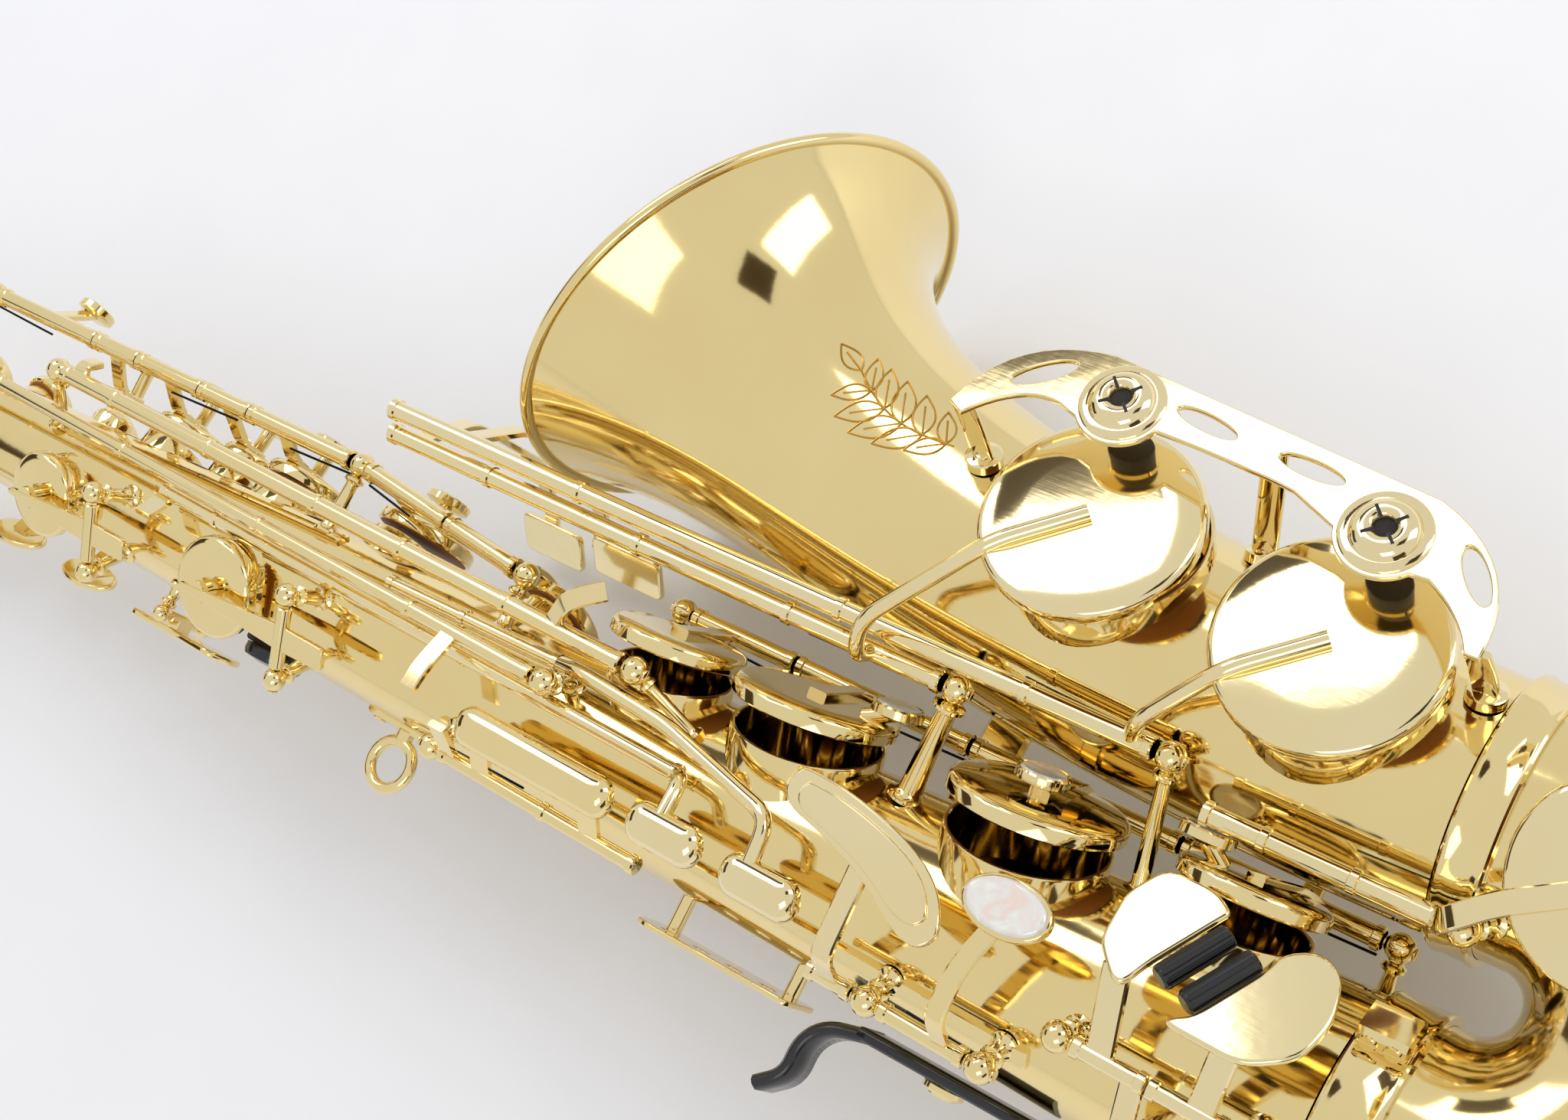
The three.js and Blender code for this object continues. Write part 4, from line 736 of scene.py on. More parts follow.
def make_bell():
    tube = hollow(bell_axis, bell_radius, 72, 128)
    holes = [bore(hole_top(name), hole_normal(name), hole_size(name)) for name in BELL_HOLES]
    piece("bell", [tube], BODY_LACQUER, stands_for=["bell"], holes=holes)
    walls = [chimney(hole_top(name), hole_normal(name), hole_size(name)) for name in BELL_HOLES]
    wire = [(RIM_R + RIM_WIRE * (0.3 + math.cos(a)), RIM_WIRE * (0.2 + math.sin(a))) for a in turns(14)]
    rim = turned(wire + wire[:1], V(*RIM_CENTRE, 0), bell_axis.heading(1), 144)
    piece("bell rim and tone holes", [walls, rim], BODY_LACQUER)


def ring(x, y, length, radius, thick):
    """A band with a bead at each edge."""
    out = radius + thick
    profile = [(radius, 0), (out, 0), (out + 0.35, 0.5), (out + 0.35, 1.4), (out, 2), (out, length - 2),
        (out + 0.35, length - 1.4),
               (out + 0.35, length - 0.5), (out, length), (radius, length), (radius, 0)]
    return turned(profile, V(x, y, 0), X, 96)


RING_WIDTH = 12.5
RING_T = 1.7


def make_rings():
    lug = [on_body(BOW_START + GAP + 1, 4.2, 50), on_body(BOW_START + RING_WIDTH - 0.6, 4.2, 50)]
    screws = [screw_head(lug[0].lerp(lug[1], k) + facing(140) * 5, facing(140), 2) for k in (0.25, 0.75)]
    clamp = bent_bar(lug, 10, 5.4, facing(50), edge=1.2)
    piece("body-bow ring", [ring(BOW_START + GAP, 0, RING_WIDTH, BODY_END_R + 0.1, RING_T), clamp, screws],
        KEY_LACQUER,
          stands_for=["body_bow_ring"])
    piece("bell-bow ring", [ring(BOW_START + 2 * GAP, BELL_Y, RING_WIDTH - 3, BELL_R0 + 0.1, RING_T)],
        KEY_LACQUER,
          stands_for=["bell_bow_ring"])
    r = BODY_R0
    profile = [(r + 0.1, -9), (r + 3.4, -9), (r + 3.4, 0), (r + 3, 0.8), (r + 2, 2), (r + 2, 5),
        (r + 1.3, 5.6), (r + 1.3, 14),
               (r + 0.1, 14), (r + 0.1, -9)]
    ears = [bent_bar([V(-10, -r - 5, z), V(-1, -r - 5, z)], 7, 3.6, Z, edge=0.8) for z in (-2.6, 2.6)]
    piece("neck receiver", [turned(profile, V(0, 0, 0), X, 64), ears], KEY_LACQUER,
        stands_for=["neck_receiver"])


def on_bell_skin(share, deg, rise):
    """A place on the sheet of the bell itself, where its rings lean with the axis."""
    turn = math.radians(deg)
    out = Z.cross(bell_axis.heading(share)).normalized() * -math.cos(turn) + Z * math.sin(turn)
    return bell_axis.at(share) + out * (bell_radius(share) + rise)


def leaf_lines(root, tip, half):
    """Outline and midrib of one leaf."""
    run = Vector(tip) - Vector(root)
    side = Vector((-run.y, run.x)).normalized() * half
    sides = []
    for sign in (-1, 1):
        spots = [Vector(root) + run * k + side * sign * math.sin(math.pi * k ** 0.8) for k in [i / 9
            for i in range(10)]]
        sides.append([tuple(p) for p in spots])
    return [*sides, [tuple(root), tuple(Vector(root) + run * 0.7)]]


ORNAMENT_SHARE = 0.68
ORNAMENT_DEG = 68


def make_ornament():
    """A spray of leaves cut into the outside of the bell."""
    stem = [(-16 + 2 * i, 3.5 * math.sin(i / 16 * math.pi) - 2) for i in range(17)]
    lines = [stem]
    for i in range(1, 15, 3):
        long = 12 * math.sin(math.pi * (0.25 + 0.6 * i / 16))
        for sign in (-1, 1):
            tip = (stem[i][0] + long * 0.7, stem[i][1] + sign * long * 0.8)
            lines += leaf_lines(stem[i], tip, long * 0.24)
    lines += leaf_lines(stem[-1], (stem[-1][0] + 9, stem[-1][1] - 1), 2.2)
    round_mm = math.radians(1) * bell_radius(ORNAMENT_SHARE)
    cuts = []
    for line in lines:
        spots = [on_bell_skin(ORNAMENT_SHARE + s / bell_axis.length, ORNAMENT_DEG + t / round_mm,
            0.04) for s, t in line]
        cuts.append(sweep(spots, [(0.26 * math.cos(a), 0.26 * math.sin(a)) for a in turns(6)],
            facing(ORNAMENT_DEG)))
    # the engraving's darker colour is painted shade in its grooves
    piece("bell ornament", cuts, ENGRAVED_PAINTED_SHADE)


make_body()
make_bow()
make_bell()
make_rings()
make_ornament()


# ---------- ribs, guards and furniture ----------
def rib(x0, x1, deg0, deg1, high=RIB_THICK):
    """A strap that follows the cone, with rounded long edges."""
    steps = max(3, round(abs(deg1 - deg0) / 2))
    middle = (deg0 + deg1) / 2
    rings = []
    for x in (x0, x0 + 1, x1 - 1, x1):
        lift = high if x0 < x < x1 else high * 0.6
        low = [on_body(x, -0.2, deg0 + (deg1 - deg0) * i / steps) for i in range(steps + 1)]
        top = []
        for i in range(steps + 1):
            deg = middle + (deg0 + (deg1 - deg0) * i / steps - middle) * 0.94
            top.append(on_body(x, lift, deg))
        rings.append(low + top[::-1])
    return skin(rings)


def strap_posts(line, stations, deg):
    made = []
    for x in stations:
        top = along(LINES[line], x)
        made += [post_on(x, deg, top), screw_head(top + X * BALL_SEAT, X),
            screw_head(top - X * BALL_SEAT, -X)]
    return made


def make_ribs():
    piece("upper stack rib", [rib(30, 206, 28, 42), strap_posts("upper", (37, 199), 35)], KEY_LACQUER,
          stands_for=["upper_stack_rib"])
    link = [post_on(92, 53, LINES["link"][0]), post(on_body(270, 0.2, 52), along(LINES["g"], 268)),
            screw_head(LINES["link"][0] - X * BALL_SEAT, -X), screw_head(LINES["g"][1] + X * BALL_SEAT, X)]
    piece("link rod rib", [rib(88, 292, 50, 58), link], KEY_LACQUER, stands_for=["link_rod_rib"])
    piece("back rib", [rib(266, 444, 126, 136), strap_posts("back", (272, 408, 438), 130)], KEY_LACQUER,
          stands_for=["back_rib"])
    piece("lower stack rib", [rib(296, 500, -36, -28), strap_posts("lower", (300, 497), -32)], KEY_LACQUER,
          stands_for=["lower_stack_rib"])


GUARD_N = V(0, 0.26, 0.966).normalized()
GUARD_V = X.cross(GUARD_N)
GUARD_O = V(440, 112, 46.5)
BUMPERS = [(-31, -3.6), (33, 3.6)]


def pull(start, control, end, steps=10):
    """A bow-shaped stretch of outline from start towards end."""
    share = [i / steps for i in range(steps)]
    return [
        tuple(start[k] * (1 - t) ** 2 + control[k] * 2 * t * (1 - t) + end[k] * t * t for k in (0,
            1)) for t in share
    ]


def arc(centre, radius, deg0, deg1, steps=14):
    degs = [math.radians(deg0 + (deg1 - deg0) * i / steps) for i in range(steps + 1)]
    return [(centre[0] + radius * math.cos(a), centre[1] + radius * math.sin(a)) for a in degs]


def on_guard(u, v, n):
    return GUARD_O + X * u + GUARD_V * v + GUARD_N * n


def guard_outline():
    return [
        *pull((-67, 10), (-62, -12), (-38, -14)), (-38, -14), *pull((40, -7.5), (62, 0), (61, 22)), (61,
            22),
        *pull((58, 22), (54, 14), (43, 9)), *arc(BUMPERS[1], 10.5, 40, 165), *pull((12, 2), (7, 1.2),
            (2, 1)),
        *pull((2, 1), (-10, 0), (-21, 0)), *arc(BUMPERS[0], 10.5, 20, 140), *pull((-44, 1.5), (-54, 0),
            (-63, 12)), (-63, 12),
    ]


def felt_bumper(u, v):
    """Screwed holder in the guard: flange, dome, four slots and a felt core."""
    base = on_guard(u, v, 0)
    holder = [(0, -1.5), (6.4, -1.5), (6.4, 0.4), (9.4, 0.4), (9.6, 1), (9.2, 1.5), (7.4, 1.6), (7.0, 2.4),
        (6.2, 3.4), (4.6, 4.1),
              (3.0, 3.9), (2.4, 3.2), (2.4, 1), (0, 1)]
    slots = []
    for turn in (45, 135, 225, 315):
        out = X * math.cos(math.radians(turn)) + GUARD_V * math.sin(math.radians(turn))
        slots.append(bent_bar([base + out * 2.2 + GUARD_N * 3.7, base + out * 4.9 + GUARD_N * 3.9], 0.7,
            0.8, GUARD_N, edge=0.1))
    core = [(0, -5.6), (5.4, -5.6), (5.6, -5), (5.6, -1.5), (2.3, -1.4), (2.3, 2.4), (0, 2.6)]
    return turned(holder, base, GUARD_N, 48), [slots, turned(core, base, GUARD_N, 32)]


def make_guard():
    windows = [
        oval(7.5, 2.4, (-51, -4.2), math.radians(-38)), oval(7.5, 2, (-12, -6), math.radians(8)),
        oval(7.5, 2, (13, -4.2), math.radians(4)), oval(7, 2.3, (53, 5.5), math.radians(52)),
    ]
    metal = [plate([[(u, -v) for u, v in line] for line in [guard_outline(), *windows]], GUARD_T,
        on_guard(0, 0, -GUARD_T / 2), X, -GUARD_V)]
    felts = []
    for u, v in BUMPERS:
        holder, core = felt_bumper(u, v)
        metal.append(holder)
        felts.append(core)
    for u, v, x, deg in [(-64.5, 9, 377, 62), (2, -10, 441, 28), (59.5, 20, 498.4, 52)]:
        end = on_bell(x, 1.4, deg)
        metal.append(bent_bar([on_guard(u, v, -0.3), on_guard(u, v, -0.3).lerp(end,
            0.5) + facing(deg) * 1.2, end], 1.5, 6, X))
        metal.append(turned([(0, -1.2), (4.4, -1.2), (4.4, 0.9), (3.9, 1.3), (0, 1.3)], end, facing(deg),
            28))
        metal.append(screw_head(end + facing(deg) * 1.2, facing(deg), 2))
    piece("bell key guard", metal, BRIGHTENED_CUP_LACQUER, stands_for=["bell_key_guard"], sharp=50)
    piece("guard felts", felts, FELT)


def bow_top(x, y, rise):
    off = abs(math.hypot(x - BOW_CENTRE_X, y - BOW_RADIUS) - BOW_RADIUS)
    return V(x, y, math.sqrt(BELL_R0**2 - off**2) + rise)


def make_small_guards():
    line = [bow_top(534, 93, -0.3), V(541, 88, 51), V(567, 62, 51), bow_top(572, 56, -0.3)]
    holder = [(0, -1.2), (5, -1.2), (5, 0), (7, 0.4), (7, 1.8), (5, 2.4), (3, 3), (0, 3)]
    piece("low C guard", [bent_bar(line, 5, 1.6, V(1, 1, 0)), turned(holder, V(554, 75, 51), Z, 32)],
        KEY_LACQUER,
          stands_for=["low_c_guard"])
    piece("low C guard felt", [turned([(0, -4), (4.6, -4), (4.6, -1.2), (0, -1.2)], V(554, 75, 51), Z,
        24)], FELT)
    slope = math.tan(REST_ROLL)
    floor = -RIM_R - RIM_WIRE * 1.3 + slope * (RIM_CENTRE[1] - 82)
    down = V(0, -math.sin(REST_ROLL), -math.cos(REST_ROLL))
    pad = V(482, 82, floor)
    legs = [
        bent_bar([on_bell(493, 0.4, deg), pad + V(13, y, 5), pad + V(0, 0, 3)], ARM_T, ARM_W,
            X) for deg, y in ((-40, 12), (-118, -13))
    ]
    disc = [(0, 0.2), (6.4, 0.2), (7, 0.7), (7, 3), (0, 3)]
    piece("low C sharp guard", [legs, turned(disc, pad, -down, 32)], KEY_LACQUER,
        stands_for=["low_c_sharp_guard"])

    def foot(x):
        return V(x, -13, -RIM_R - RIM_WIRE * 1.3 + slope * (RIM_CENTRE[1] + 13) + 1.6)

    frame_parts = [rib(214, 308, -106, -77), post_on(218, -80, along(LINES["table_left"], 218)),
                   post_on(306, -80, along(LINES["c_sharp"], 304)), rod(on_body(218, 0.2, -102), foot(218),
                       2.4),
                   rod(on_body(304, 0.2, -102), foot(304), 2.4), bent_bar([foot(215), foot(307)], 7, 3.2,
                       down, edge=0.8)]
    piece("left-hand table frame", frame_parts, KEY_LACQUER, stands_for=["table_key_frame"])


def make_back_furniture():
    strap = V(248, -body_radius(248) - 10, 3)
    lugs = rod(V(248, -body_radius(248) - 0.4, 3), V(248, strap.y + 6.4, 3), 2.4)
    heads = [screw_head(on_body(x, RIB_THICK, 176), facing(176), 1.9) for x in (237, 259)]
    loop = turned([(6.4 + 1.6 * math.cos(a), 1.6 * math.sin(a)) for a in turns(16)] + [(8.0, 0.0)], strap,
        Z, 56)
    piece("strap ring", [rib(234, 262, 168, 184), loop, lugs, heads], KEY_LACQUER,
        stands_for=["strap_ring"])
    y = -body_radius(428)
    hook = bent_bar([V(404, y - 4.6, 4), V(394, y - 7, 4), V(389.5, y - 13, 4), V(390, y - 21, 4),
        V(384, y - 26, 4)], 3.4, 12, Z, 8, 1.2)
    base = bent_bar([V(402, y - 4.6, 4), V(448, y - 4.6, 4)], 3, 12, Z, edge=0.8)
    piece("thumb hook", [hook, base], PHENOLIC, stands_for=["thumb_hook"], sharp=60)
    screw = turned([(0, 0), (4.6, 0), (5, 0.5), (5, 1.6), (4.2, 2.2), (0, 2.4)], V(424, y - 6, 4),
        V(0, -1, 0), 32)
    piece("thumb hook screw", [screw, screw_head(V(424, y - 8.2, 4), V(0, -1, 0), 3.4)], KEY_LACQUER)
    rest = [(0, -0.3), (8.5, -0.3), (8.5, 1.6), (8, 2.8), (4, 3.6), (0, 3.7)]
    piece("thumb rest", [rib(184, 204, 171, 189), turned(rest, on_body(194, RIB_THICK, 180), facing(180),
        40)], PHENOLIC,
          stands_for=["thumb_rest"])
    shape = eased([(-24, -8), (24, -8), (24, 9), (-20, 9), (-24, 5)], 3)
    windows = [oval(2.4, 1.7, (u, 3)) for u in (-15, -5, 5, 15)]
    guard = [plate([shape, *windows], 1.4, V(357, -body_radius(362) - 9, -4), X, Z)]
    for x in (339, 375):
        guard.append(rod(V(x, -body_radius(x) + 0.6, -8), V(x, -body_radius(362) - 9.6, -8), 2))
        guard.append(screw_head(V(x, -body_radius(362) - 10.2, -8), V(0, -1, 0), 1.9))
    piece("side guard", guard, KEY_LACQUER, stands_for=["side_guard"])
    ends = [on_body(389, 0.4, -50), on_bell(389, 1.2, -132)]
    pad = bent_bar([ends[1] + V(-8, 0, 0), ends[1] + V(8, 0, 0)], 8, 2, facing(-132))
    piece("bell brace", [rib(380, 398, -58, -42), bent_bar(ends, 3, 12, X, edge=1), pad], KEY_LACQUER,
        stands_for=["bell_brace"])


make_ribs()
make_guard()
make_small_guards()
make_back_furniture()


# ---------- key parts ----------
def cup(top, normal, radius, height=CUP_HEIGHT, sides=64):
    """Pressed cup: straight wall, eased edge and a crown that is almost flat."""
    profile = [(0, 0), (radius - 0.5, 0), (radius, 0.4), (radius, height * 0.62),
        (radius - 0.25, height * 0.78),
               (radius - 0.8, height * 0.9), (radius - 1.7, height * 0.97), (radius * 0.6, height), (0,
                   height)]
    return turned(profile, top, normal, sides)


def cup_over(name):
    return cup(hole_top(name, GAP), hole_normal(name), hole_size(name) + HOLE_WALL + CUP_LIP)


def pad_over(name):
    """Leather pad under a cup."""
    r = hole_size(name) + HOLE_WALL + CUP_LIP
    return turned([(0, -0.2), (r - 1.4, -0.2), (r - 0.7, 0.1), (r - 0.6, PAD_THICK), (0, PAD_THICK)],
        hole_top(name, GAP), hole_normal(name), 48)


def cup_top(name, rise=0):
    return hole_top(name, GAP + CUP_HEIGHT + rise)


def pearl_touch(centre, normal, radius=PEARL_R):
    holder = [(0, -1), (radius * 0.7, -1), (radius, -0.2), (radius, 1.7), (radius - 0.3, 2.1),
        (radius - 0.8, 1.9), (radius - 0.8, 0.9), (0, 0.9)]
    shell = [(0, 0.8), (radius - 0.85, 0.8), (radius - 0.85, 1.8), (radius - 1.4, 2.3),
        (radius * 0.4, 2.0), (0, 1.9)]
    return turned(holder, centre, normal, 40), turned(shell, centre, normal, 40)


def lift_sign(line, point, outward):
    a, b = line
    return math.copysign(1, (b - a).cross(point - a).dot(outward))


def key(name, body_name, line, metal, opened=0, pads=(), pearls=(), material=KEY_LACQUER):
    """The pieces of one key, all riding on its body and drawn closed, then turned open."""
    turn = (line[0], (line[1] - line[0]).normalized(), opened)
    piece(name, metal, material, body_name, stands_for=[body_name], turn=turn)
    if pads:
        piece(name + " pad", list(pads), LEATHER, body_name, turn=turn)
    if pearls:
        piece(name + " pearl", list(pearls), PEARL, body_name, turn=turn)


def arm_to_cup(start, name, via=(), width=ARM_T, thick=ARM_W):
    """Key arm: up from the hinge tube, over the cup's edge and flat along its crown."""
    normal = hole_normal(name)
    centre = cup_top(name, 0.5)
    last = via[-1] if via else start
    towards = last - centre
    towards -= normal * towards.dot(normal)
    edge = centre + towards.normalized() * (hole_size(name) + 1.2)
    return bent_bar([start, *via, edge, centre - towards.normalized() * 1.5], width, thick, X, 3)


def stack_key(name, line_name, x0, x1, hole, arm_x, angle, opened, pearl=None, via=(), radius=ROD_R,
    extra=()):
    line = LINES[line_name]
    sign = lift_sign(line, cup_top(hole), hole_normal(hole))
    metal = [hinge_tube(line, x0, x1, radius), cup_over(hole), arm_to_cup(along(line, arm_x), hole, via),
        list(extra)]
    pearls = []
    if pearl:
        dx, out, aside = pearl
        normal = hole_normal(hole)
        centre = cup_top(hole, out) + facing(HOLES[hole][1] + 90) * aside + X * dx
        centre.x = HOLES[hole][0] + dx
        holder, shell = pearl_touch(centre, normal)
        stem_foot = cup_top(hole, -0.6) + facing(HOLES[hole][1] + 90) * aside * 0.5 + X * dx * 0.6
        metal += [holder, rod(stem_foot, centre, 2)]
        pearls = [shell]
    key(name.replace("_", " "), name, line, metal, sign * angle if opened else 0, [pad_over(hole)], pearls)


def spring(line, x0, x1, deg, drop=3.4):
    """Needle spring from a post towards its key."""
    aim = facing(deg) * -drop
    return rod(along(line, x0) + aim, along(line, x1) + aim * 1.25, 0.35, 8, 0.05)


def make_springs():
    made = []
    for line, x0, x1, deg in [
        ("upper", 40, 66, 20), ("upper", 150, 122, 10), ("upper", 196, 172, 15), ("g", 204, 222,
            10), ("lower", 304, 330, 5),
        ("lower", 392, 362, 5), ("lower", 493, 462, 5), ("low_b", 388, 352, 60), ("low_b_flat", 440, 404,
            60),
        ("link", 316, 284, 60), ("c_sharp", 486, 450, -60), ("back", 434, 416, 120), ("back", 276, 300,
            120),
        ("table_right", 457, 468, 110), ("table_right", 492, 482, 110), ("low_c", 510, 486, 80),
    ]:
        made.append(spring(LINES[line], x0, x1, deg))
    piece("needle springs", made, STEEL)


def make_stacks():
    stack_key("key_c_vent", "upper", 86.5, 105.5, "c_vent", 95, 9, True, (0, 12, 0))
    stack_key("key_b", "upper", 106, 133, "b", 119, 10, True, (0, 11, 0))
    stack_key("key_bis", "upper", 133.5, 154, "bis", 144, 9, True, (0, 9, 0))
    stack_key("key_a", "upper", 154.5, 199 - END, "a", 168, 10, True, (0, 10, 0))
    stack_key("key_g", "g", 199 + END, 236, "g", 214, 10, True, (0, 8, 0))
    stack_key("key_g_sharp", "g", 237, 268 - END, "g_sharp", 258, 11, False, via=[V(258, 32, -1)])
    stack_key("key_f_sharp", "lower", 300 + END, 336, "f_sharp", 317, 12, True)
    stack_key("key_f", "lower", 337, 388, "f", 359, 11, True, (18.5, 3, -4))
    stack_key("key_e", "lower", 389, 444, "e", 420, 11, True, (-1, 3, 0))
    stack_key("key_d", "lower", 445, 497 - END, "d", 478, 12, True, (-12, 4, 6))
    front = V(62, 44, -6)
    holder, shell = pearl_touch(front, V(0, 1, -0.3).normalized(), 6)
    tube = [hinge_tube(LINES["upper"], 37 + END, 86, ROD_R), bent_bar([along(LINES["upper"], 62),
        V(62, 41, 0), front])]
    key("front F lever", "front_f_lever", LINES["upper"], [tube, holder], pearls=[shell])
    feet = [bent_bar([along(LINES["link"], 292), V(297, 27, 36), V(304, 33, 33)], 5, 2, Z),
            bent_bar([along(LINES["link"], 104), V(104, 27, 27), V(104, 30, 22)])]
    tube = hinge_tube(LINES["link"], 92 + END, 320 - END, ROD_R, (118, 160, 205, 238, 276))
    key("link rod", "link_rod", LINES["link"], [tube, feet], material=ROD_LACQUER)


def capsule(x0, x1, deg, rise, half=5.2):
    """Side-key touch: a half-round bar with rounded ends."""
    n, t = facing(deg), facing(deg + 90)
    start, end = on_body(x0, rise, deg), on_body(x1, rise, deg)
    length = (end - start).length
    run = (end - start).normalized()
    rings = []
    for i in range(33):
        share = i / 32
        reach = min(share, 1 - share) * length
        k = math.sqrt(max(0.02, 1 - (1 - min(1, reach / (half * 0.9))) ** 2))
        base = start + run * share * length
        arch = [math.pi * j / 16 for j in range(17)]
        rings.append([base + t * half * k * math.cos(a) + n * half * 0.86 * k * math.sin(a) ** 0.8
            for a in arch])
    return skin(rings)


def side_cup(name, hole, s, tail):
    drop = s["middle"].copy()
    drop.x = HOLES[hole][0]
    inner = s["half"] - (BALL_R - 0.4) - GAP
    a, b = s["middle"] - s["t"] * inner, s["middle"] + s["t"] * inner
    reach = s["middle"].x - HOLES[hole][0]
    leaf = [(-reach - 7, 0.8), (-reach - 7, -0.8), (0, -3.4), (tail, -3), (tail, 3), (0, 3.4)]
    arm = plate([eased(leaf, 1.5)], 1.8, s["middle"] + s["n"] * 0.9, X, s["t"])
    hub = turned([(0, 0), (3, 0), (3.2, 0.4), (3.2, 2), (0, 2)], drop - s["n"] * 1.6, s["n"], 24)
    metal = [rod(a, b, THIN_R), arm, cup_over(hole), rod(cup_top(hole, -1), drop, 1.8), hub]
    key(name.replace("_", " "), name, (a, b), metal, pads=[pad_over(hole)])


def touch_arm(line, x, deg, rise):
    return bent_bar([along(line, x), on_body(x, rise + 1.4, deg)], ARM_T, ARM_W + 1, X)


def make_side_keys():
    side_cup("side_c_cup", "side_c", SIDE_C, 15)
    side_cup("side_b_flat_cup", "side_b_flat", SIDE_B_FLAT, 16)
    foot = bent_bar([V(267, 8.2, 30.5), V(267, -3, 35.5), V(267, -9, 36.5)])
    line = LINES["side_e"]
    metal = [hinge_tube(line, 30 + END, 299 - END, THIN_R, (70, 130, 190, 250)), cup_over("side_e"),
             arm_to_cup(along(line, 46), "side_e"), foot]
    key("side e cup", "side_e_cup", line, metal, pads=[pad_over("side_e")], material=ROD_LACQUER)
    line = LINES["back"]
    metal = [hinge_tube(line, 272 + END, 341, THIN_R, (310,)), capsule(282, 333, 108, 12),
        touch_arm(line, 290, 110, 12),
             touch_arm(line, 326, 110, 12), bent_bar([along(line, 279), V(279, -14, 35)])]
    key("side E touch", "side_e_touch", line, metal)
    line = LINES["side_c"]
    metal = [hinge_tube(line, 150, 342, THIN_R, (172, 262)), capsule(338, 360, 108, 12),
             bent_rod([along(line, 341), V(346, 1, 33.5), on_body(347, 13.4, 104)], 2),
             bent_bar([along(line, 153), V(153, -2, 28)], ARM_T, ARM_W + 1)]
    key("side C touch", "side_c_touch", line, metal, material=BRIGHTENED_CUP_LACQUER)
    line = LINES["side_b_flat"]
    metal = [hinge_tube(line, 236, 296, THIN_R, (262,)), capsule(366, 388, 108, 12),
             bent_rod([along(line, 295), V(303, 13, 27.5), V(334, 11, 31), V(372, 3, 36.5),
                 on_body(373, 13.4, 104)], 2)]
    key("side B flat touch", "side_b_flat_touch", line, metal, material=BRIGHTENED_CUP_LACQUER)


def spatula_outline():
    return [
        *pull((-24, 4), (-27, -5), (-16, -5)), *pull((-16, -5), (2, -6), (13, -11)), *pull((13, -11),
            (25, -15), (25, -7)),
        *pull((25, -7), (20, 3), (4, 5)), *pull((4, 5), (-12, 7), (-24, 4)),
    ]


def make_back_touches():
    line = LINES["back"]
    n = facing(78)
    u = V(0.985, -0.17, 0).normalized()
    v = n.cross(u).normalized()
    inner = [(p * 0.84, q * 0.72 - 0.6) for p, q in spatula_outline()]
    leaf = [plate([spatula_outline()], 1.8, on_body(399, 15, 78), u, v, 0.6),
            plate([inner], 1.4, on_body(399, 15, 78) + n * 1.0, u, v, 0.65)]
    metal = [hinge_tube(line, 392, 408 - END, THIN_R), leaf, bent_bar([along(line, 398), V(399, -18, 39),
        on_body(399, 15.6, 80)])]
    key("high F sharp touch", "high_f_sharp_touch", line, metal, material=BRIGHTENED_CUP_LACQUER)
    n = facing(80)
    centre = on_body(434, 17, 78)
    w = n.cross(X)
    holder = plate([oval(10.6, 6.6)], 2.6, centre - n, X, w, 0.8)
    shell = plate([oval(9.7, 5.7)], 2.6, centre + n * 0.2, X, w, 1.1)
    metal = [hinge_tube(line, 408 + END, 438 - END, THIN_R), holder,
             bent_bar([along(line, 428), V(428, -18, 38.5), V(430, -6, 43), centre - n], ARM_T, 4.4)]
    key("alternate F sharp", "alt_f_sharp", line, metal, pearls=[shell])


TABLE_N = facing(65)
TABLE_V = TABLE_N.cross(X).normalized()
ROLL_DIR = (0.43, 0.903)


def on_table(u, v, n=0):
    return TABLE_N * 44 + X * (474 + u) + TABLE_V * v + TABLE_N * n


def roller(name, u, v):
    a, b = [on_table(u + s * ROLLER_LENGTH * ROLL_DIR[0], v + s * ROLLER_LENGTH * ROLL_DIR[1],
        0.6) for s in (-0.5, 0.5)]
    r = ROLLER_R
    long = (b - a).length
    profile = [(0, 0), (r - 0.5, 0), (r, 0.5), (r, long - 0.5), (r - 0.5, long), (0, long)]
    barrel = turned(profile, a, b - a, 32)
    ridges = []
    axis = (b - a).normalized()
    side = across(axis)
    for angle in turns(18):
        out = side * math.cos(angle) + axis.cross(side) * math.sin(angle)
        ridges.append(rod(a + out * (r - 0.12) + axis * 0.8, b + out * (r - 0.12) - axis * 0.8, 0.24, 6,
            0.05))
    piece(name.replace("_", " "), [barrel, ridges], PHENOLIC, name, stands_for=[name])


def make_right_table():
    line = LINES["table_right"]
    shape = [(-19, -8), (-12, -15), (-9.5, -14), (-7.9, -8.5), (-0.3, 7.6), (1, 10), (-4, 13), (-15.5, 13),
        (-20, 4)]
    top = cup_top("e_flat", -0.4)
    lifted = cup_top("e_flat", 2.6)
    lifted.x = 471
    metal = [hinge_tube(line, 453 + END, 474, THIN_R), plate([eased(shape, 3.4)], 2, on_table(0, 0), X,
        TABLE_V, 0.8),
             bent_bar([along(line, 463), on_table(-13, -11, 0.9)], ARM_T, ARM_W + 1),
             bent_bar([along(line, 471), lifted, top]), cup_over("e_flat")]
    key("low E flat key", "low_e_flat_key", line, metal, pads=[pad_over("e_flat")], material=BRIGHTENED_CUP_LACQUER)
    shape = [(5.3, -13.8), (2, -15.8), (1, -18), (18, -18.5), (27, -12), (29, -2), (26, 8), (20, 11),
        (13.5, 7), (12.9, 2.2)]
    metal = [hinge_tube(line, 474.6, 496 - END, THIN_R), plate([eased(shape, 4)], 2, on_table(0, 0), X,
        TABLE_V, 0.8),
             bent_bar([along(line, 486), on_table(14, -15, 0.9)], ARM_T, ARM_W + 1)]
    key("low C touch", "low_c_touch", line, metal, material=BRIGHTENED_CUP_LACQUER)
    roller("e_flat_roller", -1, -1.9)
    roller("low_c_roller", 6, -4.3)


